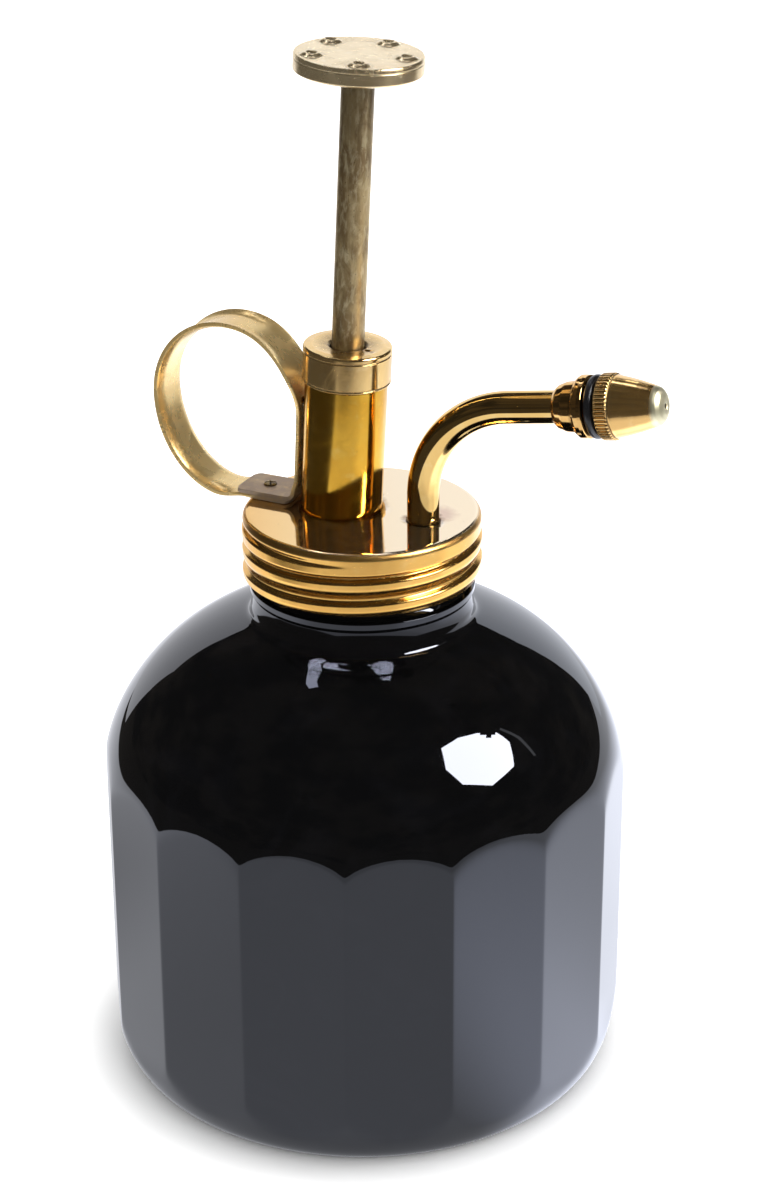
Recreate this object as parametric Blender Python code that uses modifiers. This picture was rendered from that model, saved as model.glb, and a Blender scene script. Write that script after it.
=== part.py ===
"""Brass plunger plant mister on a faceted glass bottle.

Frame: metres, +Z up. The origin is the centre of the bottle's base on the
ground. +X is the side the spout points to, -X the side of the finger ring.
The bottle, neck and lid are coaxial with Z. The pump stands on the lid and
leans LEAN degrees towards the spout, so the pieces on its axis hang under one
empty, whose local Z is that axis and whose local zero is the lid's top face.

Sizes are in millimetres and angles in degrees unless noted. Heights named
..._Z are along world Z, heights named ..._S are along the pump's axis.
"""

import math

import bmesh
import bpy
from mathutils import Matrix, Vector

MM = 0.001
GAP = 0.30                      # clearance between neighbouring pieces

# bottle
BODY_R = 50.10                  # radius over the facet edges
FACETS = 16
FACET_TURN = -0.5
HEEL_BLANK_R = 50.30            # just outside the facets' corners
HEEL_W = 5.5                    # how far the heel draws in at the base
HEEL_H = 14.75                  # and over what height
DOME_R = 50.21                  # dome of revolution that the facets are cut into
DOME_Z0 = 53.14
DOME_H = 41.24
DOME_POWER = 2.256              # superellipse exponent
WALL = 3.1
FLOOR_T = 4.6
INNER_HEEL_R = 4.0
NECK_R = 19.60                  # root of the glass thread
NECK_BORE = 17.20
NECK_FOOT_R = 20.50
BEAD_R = 21.10
BEAD_Z0, BEAD_Z1 = 96.4, 98.6
BEAD_EDGE = 0.35
LIP_Z = 109.70
LIP_CHAMFER = 0.8

# screw lid
LID_TOP = 112.20
LID_H = 12.00
LID_R = 22.40                   # over the beads on its side
LID_SIDE_R = LID_R - 0.4        # between the beads
LID_CORNER_R = 1.1
LID_SKIN = 0.90
LID_BORE = 20.45
LID_CUT = 4.0                   # reach of the hole cutters each way from the top
HOLE_SLACK = GAP + 0.05
GASKET_R, GASKET_BORE, GASKET_T = 20.1, 18.1, 1.0

# screw thread
PITCH = 4.23                    # about six threads to the inch
HELIX_R = 20.10
RIDGE_R = 0.80                  # glass thread, rounded
RIDGE_SINK = 0.1
GROOVE_R = 1.25                 # thread rolled in the lid
RIDGE_Z0 = 102.0
RIDGE_TURNS = 1.25
RIDGE_START = 0.6               # radians
GROOVE_LEAD = 1.5               # turns the groove starts before the ridge
GROOVE_TURNS = RIDGE_TURNS + 1.55

# pump barrel and its cap
LEAN = 2.9                      # towards +X
PUMP_X = -4.20
BARREL_R, BARREL_BORE = 7.60, 6.80
BARREL_S0, BARREL_S1 = -45.70, 24.80
CAP_R = 8.15
CAP_S0, CAP_S1 = BARREL_S1 + GAP, 31.90
PLUG_R, PLUG_S0 = BARREL_BORE - GAP, 22.30
PACKING_BORE, PACKING_ROOF_S = 5.2, 28.5
PACKING_R = PACKING_BORE - GAP
PACKING_S0 = 24.7

# plunger
ROD_R = 3.00
ROD_BORE = ROD_R + GAP
SPIGOT_R = 2.00
SPIGOT_BORE = SPIGOT_R + GAP
ROD_S0 = 10.0                   # foot of the spigot
SPIGOT_S1 = 21.9
BUTTON_R, BUTTON_T, BUTTON_TOP = 11.50, 3.30, 85.30
SOCKET_R = ROD_R - 0.4          # blind hole in the button for the rod
SOCKET_S = BUTTON_TOP - 0.8
GRIPS = 5
GRIP_CIRCLE_R = 0.75 * BUTTON_R
GRIP_START = -64.5
PISTON_R = BARREL_BORE - GAP
PISTON_S0, PISTON_S1 = 17.6, SPIGOT_S1 - GAP
CUP_S0, CUP_WEB_S = 13.0, 16.0  # foot of the lip, underside of the web
NUT_R = 5.0
NUT_S0, NUT_S1 = 12.6, CUP_WEB_S - GAP
SPRING_R, SPRING_WIRE = 4.0, 0.45
SPRING_S0, SPRING_S1 = -45.20, 12.0
SPRING_COILS = 11

# spout tube and finger ring on the lid
TUBE_R, TUBE_BORE = 3.00, 2.00
TUBE_SOCKET_R = TUBE_R + GAP
SPOUT_X = 12.50
SPOUT_RISE = 5.0                # straight length above the lid
SPOUT_DEPTH = 5.0               # length inside the nozzle
BORE_OVERRUN = 3.0
NOZZLE_TILT = 9.4               # above horizontal
NOZZLE_X, NOZZLE_Z = 38.50, LID_TOP + 26.07

# valve block
BLOCK_R = 9.00
BLOCK_S0, BLOCK_S1 = -60.0, -40.0
SLEEVE_R = 5.2                  # sleeve under the block, round the dip tube
INLET_R = 1.5
CHAMBER_R = 2.9                 # inlet ball's chamber
BALL_R = 2.20
INLET_BALL_S = -51.15
STOP_S = -47.2                  # pin across the chamber, over the ball
PASSAGE_S = -49.3
OUTLET_R = 2.5                  # outlet ball's chamber
OUTLET_SEAT_R = 1.3
OUTLET_BALL_RISE = 4.25         # these three are above the cross passage
TUBE_STEP_RISE = 8.0
TUBE_FOOT_RISE = 8.4
BOSS_R = 4.25
PASSAGE_R = 1.2
PLUG_HOLE_X = 2.4               # start of the plug's hole, from the outlet's axis

# dip tube
DIP_S0, DIP_S1 = -104.0, -57.0
STRAINER_R, STRAINER_S0, STRAINER_S1 = 4.1, -105.7, -97.0
STRAINER_HOLES = 6
STRAINER_HOLE_R, STRAINER_CIRCLE_R = 0.45, 1.6

# swirl core
SWIRL_R = 1.55
SWIRL_SLOTS = 3
SWIRL_SLOT_SIZE = (1.1, 0.7, 9.0)
SWIRL_CIRCLE_R, SWIRL_SLOT_S = 1.75, 13.2

# finger ring
STRAP_T = 0.80
STRAP_W = 8.80
STRAP_LAP = 0.15                # space between the foot and the tab under it
RING_X = -26.0
RING_Z = LID_TOP + 18.3
RING_A = 14.45                  # half width to the strap's middle
RING_RISE = 14.80               # height of the upper half, from RING_Z
RING_JOINT = 4.0                # angle where the leg runs into the loop
FOOT_X, TAB_X = -24.2, -13.2    # free ends of the foot and the tab
FOOT_BEND_R = 1.3
RIVET_X = -19.1
RIVET_R, RIVET_HEAD_R, RIVET_HOLE_R = 1.0, 1.9, 1.3
TAB_Z = LID_TOP + GAP + STRAP_T / 2
FOOT_Z = TAB_Z + STRAP_T + STRAP_LAP

INNER_BRASS = (0.60, 0.42, 0.18)
STEEL = (0.55, 0.55, 0.56)
BALL_STEEL = (0.62, 0.62, 0.64)

LEAN_SIN, LEAN_COS = math.sin(math.radians(LEAN)), math.cos(math.radians(LEAN))
PASSAGE_Z = LID_TOP + PASSAGE_S * LEAN_COS
OUTLET = (SPOUT_X, 0.0, PASSAGE_Z)          # the outlet's axis meets the passage
TILT = math.radians(NOZZLE_TILT)
ALONG = Vector((math.cos(TILT), 0.0, math.sin(TILT)))
NOZZLE_AT = Vector((NOZZLE_X, 0.0, NOZZLE_Z))

for thing in list(bpy.data.objects):
    bpy.data.objects.remove(thing, do_unlink=True)

model = bpy.data.collections.new("hand_mister")
cutters = bpy.data.collections.new("cutters")
for collection in (model, cutters):
    bpy.context.scene.collection.children.link(collection)


# ------------------------------------------------------------------ helpers
def material(name, colour, roughness, metallic=1.0):
    mat = bpy.data.materials.new(name)
    mat.use_nodes = True
    bsdf = mat.node_tree.nodes["Principled BSDF"]
    bsdf.inputs["Base Color"].default_value = (*colour, 1.0)
    bsdf.inputs["Metallic"].default_value = metallic
    bsdf.inputs["Roughness"].default_value = roughness
    mat.diffuse_color = (*colour, 1.0)
    return mat


def finish(obj, mat, smooth=True):
    """Give a piece its material, and smooth shading with edges over 30 degrees sharp."""
    obj.data.materials.append(mat)
    if smooth:
        obj.data.shade_smooth()
        obj.data.set_sharp_from_angle(angle=math.radians(30.0))


def empty(name, location, tilt):
    """An axis empty in the X-Z plane, tipped from +Z towards +X by tilt radians."""
    obj = bpy.data.objects.new(name, None)
    obj.location = Vector(location) * MM
    obj.rotation_euler = (0.0, tilt, 0.0)
    obj.empty_display_size = 0.01
    model.objects.link(obj)
    return obj


def mesh_object(name, bm, parent=None, at=(0, 0, 0)):
    """Turn a bmesh into an object of the model, and free the bmesh."""
    mesh = bpy.data.meshes.new(name)
    bm.to_mesh(mesh)
    bm.free()
    obj = bpy.data.objects.new(name, mesh)
    model.objects.link(obj)
    obj.location = Vector(at) * MM
    obj.parent = parent
    return obj


def turned(name, profile, steps, parent=None, at=(0, 0, 0), start=0.0):
    """A turned piece from (radius, height) points.

    A profile that starts and ends on the axis stays open there; any other is
    closed into a ring. start is the angle of the profile plane.
    """
    bm = bmesh.new()
    turn = Matrix.Rotation(math.radians(start), 3, "Z")
    verts = [bm.verts.new(turn @ Vector((r * MM, 0.0, z * MM))) for r, z in profile]
    for a, b in zip(verts, verts[1:]):
        bm.edges.new((a, b))
    if not profile[0][0] == profile[-1][0] == 0.0:
        bm.edges.new((verts[-1], verts[0]))
    obj = mesh_object(name, bm, parent, at)
    mod = obj.modifiers.new("turn", "SCREW")
    mod.axis = "Z"
    mod.angle = math.tau
    mod.steps = steps
    mod.render_steps = steps
    mod.use_merge_vertices = True
    mod.merge_threshold = 0.00001
    mod.use_smooth_shade = True
    return obj


AXIS_TURN = {"X": Matrix.Rotation(math.pi / 2, 3, "Y"),
             "Y": Matrix.Rotation(-math.pi / 2, 3, "X"),
             "Z": Matrix.Identity(3)}


def rod(name, radius, low, high, parent=None, at=(0, 0, 0), verts=24, axis="Z"):
    """A plain cylinder between two places on its own axis."""
    bm = bmesh.new()
    bmesh.ops.create_cone(bm, cap_ends=True, segments=verts, radius1=radius * MM,
                          radius2=radius * MM, depth=(high - low) * MM)
    bmesh.ops.translate(bm, verts=bm.verts, vec=(0, 0, (low + high) / 2 * MM))
    bmesh.ops.rotate(bm, verts=bm.verts, cent=(0, 0, 0), matrix=AXIS_TURN[axis])
    return mesh_object(name, bm, parent, at)


def block(name, size, parent=None, at=(0, 0, 0)):
    bm = bmesh.new()
    bmesh.ops.create_cube(bm, size=1.0)
    bmesh.ops.scale(bm, verts=bm.verts, vec=Vector(size) * MM)
    return mesh_object(name, bm, parent, at)


def ball(name, parent=None, at=(0, 0, 0)):
    bm = bmesh.new()
    bmesh.ops.create_uvsphere(bm, u_segments=14, v_segments=8, radius=BALL_R * MM)
    return mesh_object(name, bm, parent, at)


def curve_piece(name, points, cyclic=False, parent=None, **settings):
    """The welded mesh of a poly spline, made with the given curve settings."""
    curve = bpy.data.curves.new(name, "CURVE")
    for key, value in settings.items():
        setattr(curve, key, value)
    spline = curve.splines.new("POLY")
    spline.points.add(len(points) - 1)
    for point, position in zip(spline.points, points):
        point.co = (*(c * MM for c in position), 1.0)
    spline.use_cyclic_u = cyclic
    source = bpy.data.objects.new(name, curve)
    model.objects.link(source)

    bpy.context.view_layer.update()
    depsgraph = bpy.context.evaluated_depsgraph_get()
    raw = bpy.data.meshes.new_from_object(source.evaluated_get(depsgraph))
    bm = bmesh.new()
    bm.from_mesh(raw)
    bmesh.ops.remove_doubles(bm, verts=bm.verts, dist=0.00001)
    bmesh.ops.recalc_face_normals(bm, faces=bm.faces)
    # the source goes first, so that the piece can take its name
    bpy.data.objects.remove(source, do_unlink=True)
    bpy.data.meshes.remove(raw)
    return mesh_object(name, bm, parent)


def wire(name, points, radius, resolution=2, parent=None):
    """A round bar along a run of points."""
    return curve_piece(name, points, parent=parent, dimensions="3D",
                       bevel_depth=radius * MM, bevel_resolution=resolution,
                       use_fill_caps=True)


def boolean(obj, other, operation):
    """Combine a piece with a helper, which moves to the hidden cutters."""
    model.objects.unlink(other)
    cutters.objects.link(other)
    other.hide_render = True
    other.display_type = "WIRE"
    mod = obj.modifiers.new(operation.lower(), "BOOLEAN")
    mod.operation = operation
    mod.solver = "EXACT"
    mod.object = other


def cut(obj, other):
    boolean(obj, other, "DIFFERENCE")


def join(obj, other):
    boolean(obj, other, "UNION")


def arc(cx, cz, rx, rz, a0, a1, count):
    """Points on an ellipse in a plane, from angle a0 to a1, both ends included."""
    angles = [math.radians(a0 + (a1 - a0) * i / count) for i in range(count + 1)]
    return [(cx + rx * math.cos(a), cz + rz * math.sin(a)) for a in angles]


def helix(radius, z0, turns, per_turn=24, a0=0.0, pitch=PITCH):
    """A right-handed helix: it climbs as it goes anticlockwise from above."""
    count = round(turns * per_turn)
    return [(radius * math.cos(a0 + math.tau * turns * i / count),
             radius * math.sin(a0 + math.tau * turns * i / count),
             z0 + pitch * turns * i / count) for i in range(count + 1)]


def spread(count, radius, start=0.0):
    """(x, y, angle in radians) of places evenly spread round a circle."""
    angles = [math.radians(start) + math.tau * i / count for i in range(count)]
    return [(radius * math.cos(a), radius * math.sin(a), a) for a in angles]


def offset_strip(path, thickness):
    """The closed outline of a strip that follows a path in a plane."""
    left, right = [], []
    for i, (x, z) in enumerate(path):
        ax, az = path[max(0, i - 1)]
        bx, bz = path[min(len(path) - 1, i + 1)]
        length = math.hypot(bx - ax, bz - az)
        nx, nz = -(bz - az) / length, (bx - ax) / length
        left.append((x + nx * thickness / 2, z + nz * thickness / 2))
        right.append((x - nx * thickness / 2, z - nz * thickness / 2))
    return left + right[::-1]


pump = empty("pump_axis", (PUMP_X, 0.0, LID_TOP), math.radians(LEAN))
nozzle = empty("nozzle_axis", NOZZLE_AT, math.pi / 2 - TILT)


# ------------------------------------------------------------------ bottle
def dome(radius, z0, height, levels):
    """Points of a superelliptic dome at the given heights."""
    return [(radius * (1.0 - ((z - z0) / height) ** DOME_POWER) ** (1.0 / DOME_POWER), z)
            for z in levels]


def bottle_blank():
    """Outer side from the lip down, then across the base to the axis."""
    return [
        (0.0, LIP_Z), (NECK_R - LIP_CHAMFER, LIP_Z), (NECK_R, LIP_Z - LIP_CHAMFER),
        (NECK_R, BEAD_Z1 + BEAD_EDGE),
        (BEAD_R - BEAD_EDGE, BEAD_Z1), (BEAD_R, (BEAD_Z0 + BEAD_Z1) / 2),
        (BEAD_R - BEAD_EDGE, BEAD_Z0),
        (NECK_FOOT_R, BEAD_Z0 - BEAD_EDGE), (NECK_FOOT_R + 0.15, 94.0),
        (NECK_FOOT_R + 1.6, 92.4),
        *dome(DOME_R, DOME_Z0, DOME_H, (90.6, 88.0, 84.5, 80.0, 75.0, 69.5, 64.5, 59.5)),
        # below the dome the blank is a little wider than the facets' edges
        (DOME_R + 0.75, DOME_Z0 - 1.0),
        *arc(HEEL_BLANK_R - HEEL_W, HEEL_H, HEEL_W, HEEL_H, 0.0, -90.0, 7),
        (0.0, 0.0)]


def bottle_inside():
    """Hollow of the bottle, from above the lip down to the floor."""
    radius = BODY_R * math.cos(math.pi / FACETS) - WALL
    mouth_z = LIP_Z + 5.0
    return [
        (0.0, mouth_z), (NECK_BORE, mouth_z), (NECK_BORE, 94.0), (NECK_BORE + 1.2, 91.0),
        *dome(radius, DOME_Z0 - 2.0, DOME_H - 1.6, (87.5, 83.0, 77.0, 70.0, 62.0)),
        (radius, DOME_Z0 - 3.0),
        *arc(radius - INNER_HEEL_R, FLOOR_T + INNER_HEEL_R, INNER_HEEL_R, INNER_HEEL_R,
             0.0, -90.0, 3),
        (0.0, FLOOR_T)]


def build_bottle():
    bottle = turned("bottle", bottle_blank(), steps=32, start=FACET_TURN)
    prism = rod("facet_prism", BODY_R, -5.0, 130.0, verts=FACETS)
    # a primitive cone's first corner is on +Y, so it is turned onto +X
    prism.rotation_euler = (0.0, 0.0, math.radians(FACET_TURN - 90.0))
    boolean(bottle, prism, "INTERSECT")
    cut(bottle, turned("bottle_inside", bottle_inside(), steps=24, start=FACET_TURN))
    ridge = helix(HELIX_R - RIDGE_SINK, RIDGE_Z0, RIDGE_TURNS, a0=RIDGE_START)
    join(bottle, wire("neck_thread", ridge, RIDGE_R))
    finish(bottle, material("black_glass", (0.010, 0.010, 0.012), roughness=0.05, metallic=0.0))


# ------------------------------------------------------------------ lid and gasket
def build_lid():
    low = LID_TOP - LID_H
    corner_r = LID_SIDE_R - LID_CORNER_R
    lid = turned("lid", [
        (0.0, LID_TOP),
        *arc(corner_r, LID_TOP - LID_CORNER_R, LID_CORNER_R, LID_CORNER_R, 90.0, 0.0, 3),
        (LID_SIDE_R, LID_TOP - 4.4), (LID_R, LID_TOP - 6.4), (LID_R, LID_TOP - 7.6),
        (LID_SIDE_R, LID_TOP - 9.0), (LID_R, LID_TOP - 10.2), (LID_R, low + 0.4),
        (LID_SIDE_R, low), (LID_BORE + 0.3, low), (LID_BORE, low + 0.4),
        (LID_BORE, LID_TOP - LID_SKIN), (0.0, LID_TOP - LID_SKIN)], steps=36)
    groove = helix(HELIX_R, RIDGE_Z0 - GROOVE_LEAD * PITCH, GROOVE_TURNS,
                   a0=RIDGE_START - GROOVE_LEAD * math.tau)
    cut(lid, wire("lid_thread", groove, GROOVE_R))
    cut(lid, rod("barrel_hole", BARREL_R + HOLE_SLACK, -LID_CUT, LID_CUT, pump, verts=36))
    cut(lid, rod("spout_hole", TUBE_R + HOLE_SLACK, -LID_CUT, LID_CUT,
                 at=(SPOUT_X, 0, LID_TOP)))
    cut(lid, rod("rivet_hole", RIVET_HOLE_R, -LID_CUT, LID_CUT,
                 at=(RIVET_X, 0, LID_TOP), verts=16))
    finish(lid, material("lid_brass", (0.70, 0.42, 0.13), roughness=0.16))


def tube_profile(radius, bore, low, high):
    return [(radius, high), (radius, low), (bore, low), (bore, high)]


def build_gasket():
    z0 = LIP_Z + GAP
    gasket = turned("lid_gasket", tube_profile(GASKET_R, GASKET_BORE, z0, z0 + GASKET_T),
                    steps=32)
    finish(gasket, material("gasket_rubber", (0.03, 0.03, 0.03), roughness=0.60, metallic=0.0))


# ------------------------------------------------------------------ barrel
def build_barrel():
    barrel = turned("pump_barrel", [
        (BARREL_R - 0.2, BARREL_S1), (BARREL_R, BARREL_S1 - 0.2), (BARREL_R, BARREL_S0 + 0.3),
        (BARREL_R - 0.3, BARREL_S0), (BARREL_BORE, BARREL_S0), (BARREL_BORE, BARREL_S1)],
        steps=32, parent=pump)
    finish(barrel, material("barrel_brass", (0.72, 0.47, 0.18), roughness=0.15))


def build_cap():
    """Barrel cap, with a plug that goes down into the barrel."""
    cap = turned("barrel_cap", [
        (CAP_R - 0.9, CAP_S1), (CAP_R - 0.4, CAP_S1 - 0.12), (CAP_R, CAP_S1 - 0.6),
        (CAP_R, CAP_S0 + 0.3), (CAP_R - 0.3, CAP_S0), (PLUG_R, CAP_S0), (PLUG_R, PLUG_S0),
        (PACKING_BORE, PLUG_S0), (PACKING_BORE, PACKING_ROOF_S),
        (ROD_BORE, PACKING_ROOF_S), (ROD_BORE, CAP_S1)], steps=32, parent=pump)
    cut(cap, rod("cap_vent", 0.55, 27.0, 34.0, pump, at=(4.6, -1.2, 0), verts=12))
    finish(cap, material("cap_brass", (0.74, 0.50, 0.20), roughness=0.18))


def build_packing():
    """Felt ring round the rod, and the brass ring under it."""
    packing = turned("rod_packing", tube_profile(
        PACKING_R, ROD_BORE, PACKING_S0, PACKING_ROOF_S - GAP), steps=28, parent=pump)
    finish(packing, material("packing_felt", (0.30, 0.24, 0.17), roughness=0.90, metallic=0.0))
    retainer = turned("packing_retainer", tube_profile(
        PACKING_R, ROD_R + 0.5, PLUG_S0 + GAP, PACKING_S0 - GAP), steps=28, parent=pump)
    finish(retainer, material("retainer_brass", INNER_BRASS, roughness=0.35))


# ------------------------------------------------------------------ plunger
def build_rod():
    stub_r, stub_top = SOCKET_R - GAP, SOCKET_S - GAP
    shoulder = BUTTON_TOP - BUTTON_T - GAP
    plunger = turned("plunger_rod", [
        (0.0, stub_top), (stub_r, stub_top), (stub_r, shoulder), (ROD_R, shoulder),
        (ROD_R, SPIGOT_S1 + 0.1), (SPIGOT_R, SPIGOT_S1), (SPIGOT_R, ROD_S0 + 0.4),
        (SPIGOT_R - 0.4, ROD_S0), (0.0, ROD_S0)], steps=24, parent=pump)
    finish(plunger, material("rod_brass", (0.38, 0.27, 0.12), roughness=0.38))


def build_button():
    """Thumb button with a short collar below and a circle of raised grips on top."""
    top, under = BUTTON_TOP, BUTTON_TOP - BUTTON_T
    button = turned("thumb_button", [
        (0.0, top), (BUTTON_R - 1.1, top), (BUTTON_R - 0.45, top - 0.12),
        (BUTTON_R, top - 0.6), (BUTTON_R, under + 0.35), (BUTTON_R - 0.35, under),
        (4.2, under), (3.8, under - 0.5), (ROD_BORE, under - 0.5), (ROD_BORE, under),
        (SOCKET_R, under), (SOCKET_R, SOCKET_S), (0.0, SOCKET_S)], steps=32, parent=pump)
    finish(button, material("button_brass", (0.78, 0.62, 0.34), roughness=0.25))
    grip_profile = [(0.0, 0.10), (0.75, 0.16), (1.4, 0.5), (2.2, 0.05), (2.2, -0.35),
                    (0.0, -0.35)]
    for index, (x, y, _) in enumerate(spread(GRIPS, GRIP_CIRCLE_R, GRIP_START)):
        join(button, turned(f"button_grip_{index}", grip_profile, steps=10, parent=pump,
                            at=(x, y, top)))


def build_piston():
    piston = turned("piston", [
        (PISTON_R - 0.2, PISTON_S1), (PISTON_R, PISTON_S1 - 0.2), (PISTON_R, PISTON_S0 + 0.4),
        (PISTON_R - 0.3, PISTON_S0), (SPIGOT_BORE, PISTON_S0), (SPIGOT_BORE, PISTON_S1)],
        steps=24, parent=pump)
    finish(piston, material("piston_brass", INNER_BRASS, roughness=0.35))


def build_cup():
    """Leather cup under the piston, its lip downwards."""
    top = PISTON_S0 - GAP
    cup = turned("piston_cup", [
        (PISTON_R - 0.5, top), (PISTON_R, top - 0.5), (PISTON_R, CUP_S0),
        (PISTON_R - 0.8, CUP_S0), (PISTON_R - 1.1, CUP_WEB_S), (SPIGOT_BORE, CUP_WEB_S),
        (SPIGOT_BORE, top)], steps=24, parent=pump)
    finish(cup, material("cup_leather", (0.20, 0.11, 0.05), roughness=0.70, metallic=0.0))


def build_nut():
    nut = rod("piston_nut", NUT_R, NUT_S0, NUT_S1, pump, verts=6)
    cut(nut, rod("nut_hole", SPIGOT_BORE, 8.0, 20.0, pump))
    finish(nut, material("nut_brass", INNER_BRASS, roughness=0.35), smooth=False)


def build_spring():
    coils = helix(SPRING_R, SPRING_S0, SPRING_COILS, per_turn=11,
                  pitch=(SPRING_S1 - SPRING_S0) / SPRING_COILS)
    spring = wire("return_spring", coils, SPRING_WIRE, resolution=1, parent=pump)
    finish(spring, material("spring_steel", STEEL, roughness=0.25))


# ------------------------------------------------------------------ valve block
def build_valve():
    """Block under the barrel, joined by a web to the boss under the spout."""
    seat = BARREL_S0 - GAP
    dip_stop = DIP_S1 + 0.5
    valve = turned("valve_body", [
        (BLOCK_R - 0.4, BLOCK_S1), (BLOCK_R, BLOCK_S1 - 0.4), (BLOCK_R, BLOCK_S0 + 4.5),
        (BLOCK_R - 1.0, BLOCK_S0 + 3.5), (SLEEVE_R, BLOCK_S0 + 3.5),
        (SLEEVE_R, BLOCK_S0 - 3.0), (TUBE_SOCKET_R, BLOCK_S0 - 3.0),
        (TUBE_SOCKET_R, dip_stop), (INLET_R, dip_stop), (INLET_R, -53.0),
        (CHAMBER_R, -51.6), (CHAMBER_R, seat), (BARREL_R + GAP, seat),
        (BARREL_R + GAP, BLOCK_S1)], steps=24, parent=pump)
    join(valve, block("valve_web", (14.0, 7.0, 5.6), at=(5.5, 0, PASSAGE_Z - 0.4)))
    join(valve, rod("outlet_boss", BOSS_R, PASSAGE_Z - 4.2, PASSAGE_Z + 13.0,
                    at=(SPOUT_X, 0, 0)))
    # (radius, height above the cross passage)
    bore = [(TUBE_SOCKET_R, 20.0), (TUBE_SOCKET_R, TUBE_STEP_RISE), (OUTLET_R, TUBE_STEP_RISE),
            (OUTLET_R, 3.4), (OUTLET_SEAT_R, 2.2), (OUTLET_SEAT_R, -0.31), (0.0, -0.31),
            (0.0, 20.0)]
    cut(valve, turned("outlet_bore", [(r, PASSAGE_Z + z) for r, z in bore], steps=20,
                      at=(SPOUT_X, 0, 0)))
    cut(valve, rod("cross_passage", PASSAGE_R, -14.5, 2.9, at=OUTLET, verts=16, axis="X"))
    cut(valve, rod("plug_hole", 1.75, PLUG_HOLE_X, 8.0, at=OUTLET, verts=20, axis="X"))
    cut(valve, rod("stop_pin_hole", 0.8, -12.0, 12.0, pump, at=(0, 0, STOP_S), verts=12,
                   axis="Y"))
    finish(valve, material("valve_brass", INNER_BRASS, roughness=0.35))


def build_valve_parts():
    """Plug at the passage's +X end, stop pin, and the two balls."""
    plug = rod("outlet_plug", 1.42, PLUG_HOLE_X + GAP, 4.1, at=OUTLET, verts=20, axis="X")
    finish(plug, material("plug_brass", INNER_BRASS, roughness=0.35))
    stop = rod("ball_stop_pin", 0.5, -8.5, 8.5, pump, at=(0, 0, STOP_S), verts=12, axis="Y")
    finish(stop, material("pin_steel", STEEL, roughness=0.25))
    finish(ball("inlet_ball", pump, at=(0, 0, INLET_BALL_S)),
           material("ball_steel", BALL_STEEL, roughness=0.12))
    finish(ball("outlet_ball", at=(SPOUT_X, 0, PASSAGE_Z + OUTLET_BALL_RISE)),
           material("outlet_ball_steel", BALL_STEEL, roughness=0.12))


def build_dip_tube():
    dip = turned("dip_tube", tube_profile(TUBE_R, TUBE_BORE, DIP_S0, DIP_S1),
                 steps=24, parent=pump)
    finish(dip, material("dip_brass", INNER_BRASS, roughness=0.35))


def build_strainer():
    """Perforated cup over the foot of the dip tube."""
    floor = DIP_S0 - 0.6
    strainer = turned("dip_strainer", [
        (0.0, floor), (TUBE_SOCKET_R, floor), (TUBE_SOCKET_R, STRAINER_S1),
        (STRAINER_R, STRAINER_S1), (STRAINER_R, STRAINER_S0 + 0.5),
        (STRAINER_R - 0.4, STRAINER_S0), (0.0, STRAINER_S0)], steps=24, parent=pump)
    for index, (x, y, _) in enumerate(spread(STRAINER_HOLES, STRAINER_CIRCLE_R)):
        cut(strainer, rod(f"strainer_hole_{index}", STRAINER_HOLE_R, -107.0, -103.0, pump,
                          at=(x, y, 0), verts=8))
    finish(strainer, material("strainer_brass", INNER_BRASS, roughness=0.40))


# ------------------------------------------------------------------ spout
def spout_path(overrun=0.0):
    """Up through the lid, round one bend, then straight out to the nozzle."""
    # the bend is tangent to both straight runs, which would meet at a corner
    reach = (NOZZLE_X - SPOUT_X) / ALONG.x
    corner_z = NOZZLE_Z - reach * ALONG.z
    bend_z = LID_TOP + SPOUT_RISE
    radius = (corner_z - bend_z) / math.tan(math.radians(90.0 - NOZZLE_TILT) / 2)
    bend = arc(SPOUT_X + radius, bend_z, radius, radius, 180.0, 90.0 + NOZZLE_TILT, 10)
    return [(SPOUT_X, 0.0, PASSAGE_Z + TUBE_FOOT_RISE - overrun),
            (SPOUT_X, 0.0, LID_TOP - 4.0),
            *((x, 0.0, z) for x, z in bend),
            tuple(NOZZLE_AT + ALONG * (SPOUT_DEPTH + overrun))]


def build_spout():
    spout = wire("spout_tube", spout_path(), TUBE_R, resolution=3)
    cut(spout, wire("spout_bore", spout_path(BORE_OVERRUN), TUBE_BORE))
    finish(spout, material("spout_brass", (0.66, 0.44, 0.19), roughness=0.20))


# ------------------------------------------------------------------ nozzle
# Outlines in (radius, distance along the nozzle's axis).
NOZZLE_BODY = [
    (2.2, 12.3), (3.4, 12.3), (3.4, 6.9), (5.3, 6.6), (5.7, 6.0), (5.7, 5.3), (5.2, 4.4),
    (4.25, 4.1), (4.25, 0.7), (3.8, 0.0), (TUBE_SOCKET_R, 0.0),
    (TUBE_SOCKET_R, SPOUT_DEPTH + GAP), (1.2, SPOUT_DEPTH + GAP), (1.2, 9.0), (1.9, 9.0),
    (2.2, 9.4)]
NOZZLE_CAP = [
    (0.45, 20.6), (1.4, 20.5), (2.5, 20.1), (3.3, 19.5), (3.5, 19.2), (3.95, 18.0),
    (4.55, 16.0), (5.1, 14.0), (5.5, 12.2), (5.7, 11.3), (5.7, 10.7), (5.95, 10.4),
    (5.95, 9.2), (5.6, 8.9), (3.75, 8.9), (3.75, 14.0), (2.2, 18.0), (0.45, 18.9)]
SWIRL_CORE = [
    (0.0, 17.2), (0.7, 16.9), (SWIRL_R, 15.0), (SWIRL_R, 10.0), (1.2, 9.6), (0.0, 9.6)]
ORING_R, ORING_S, ORING_SECTION_R = 4.9, 7.75, 0.82


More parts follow.
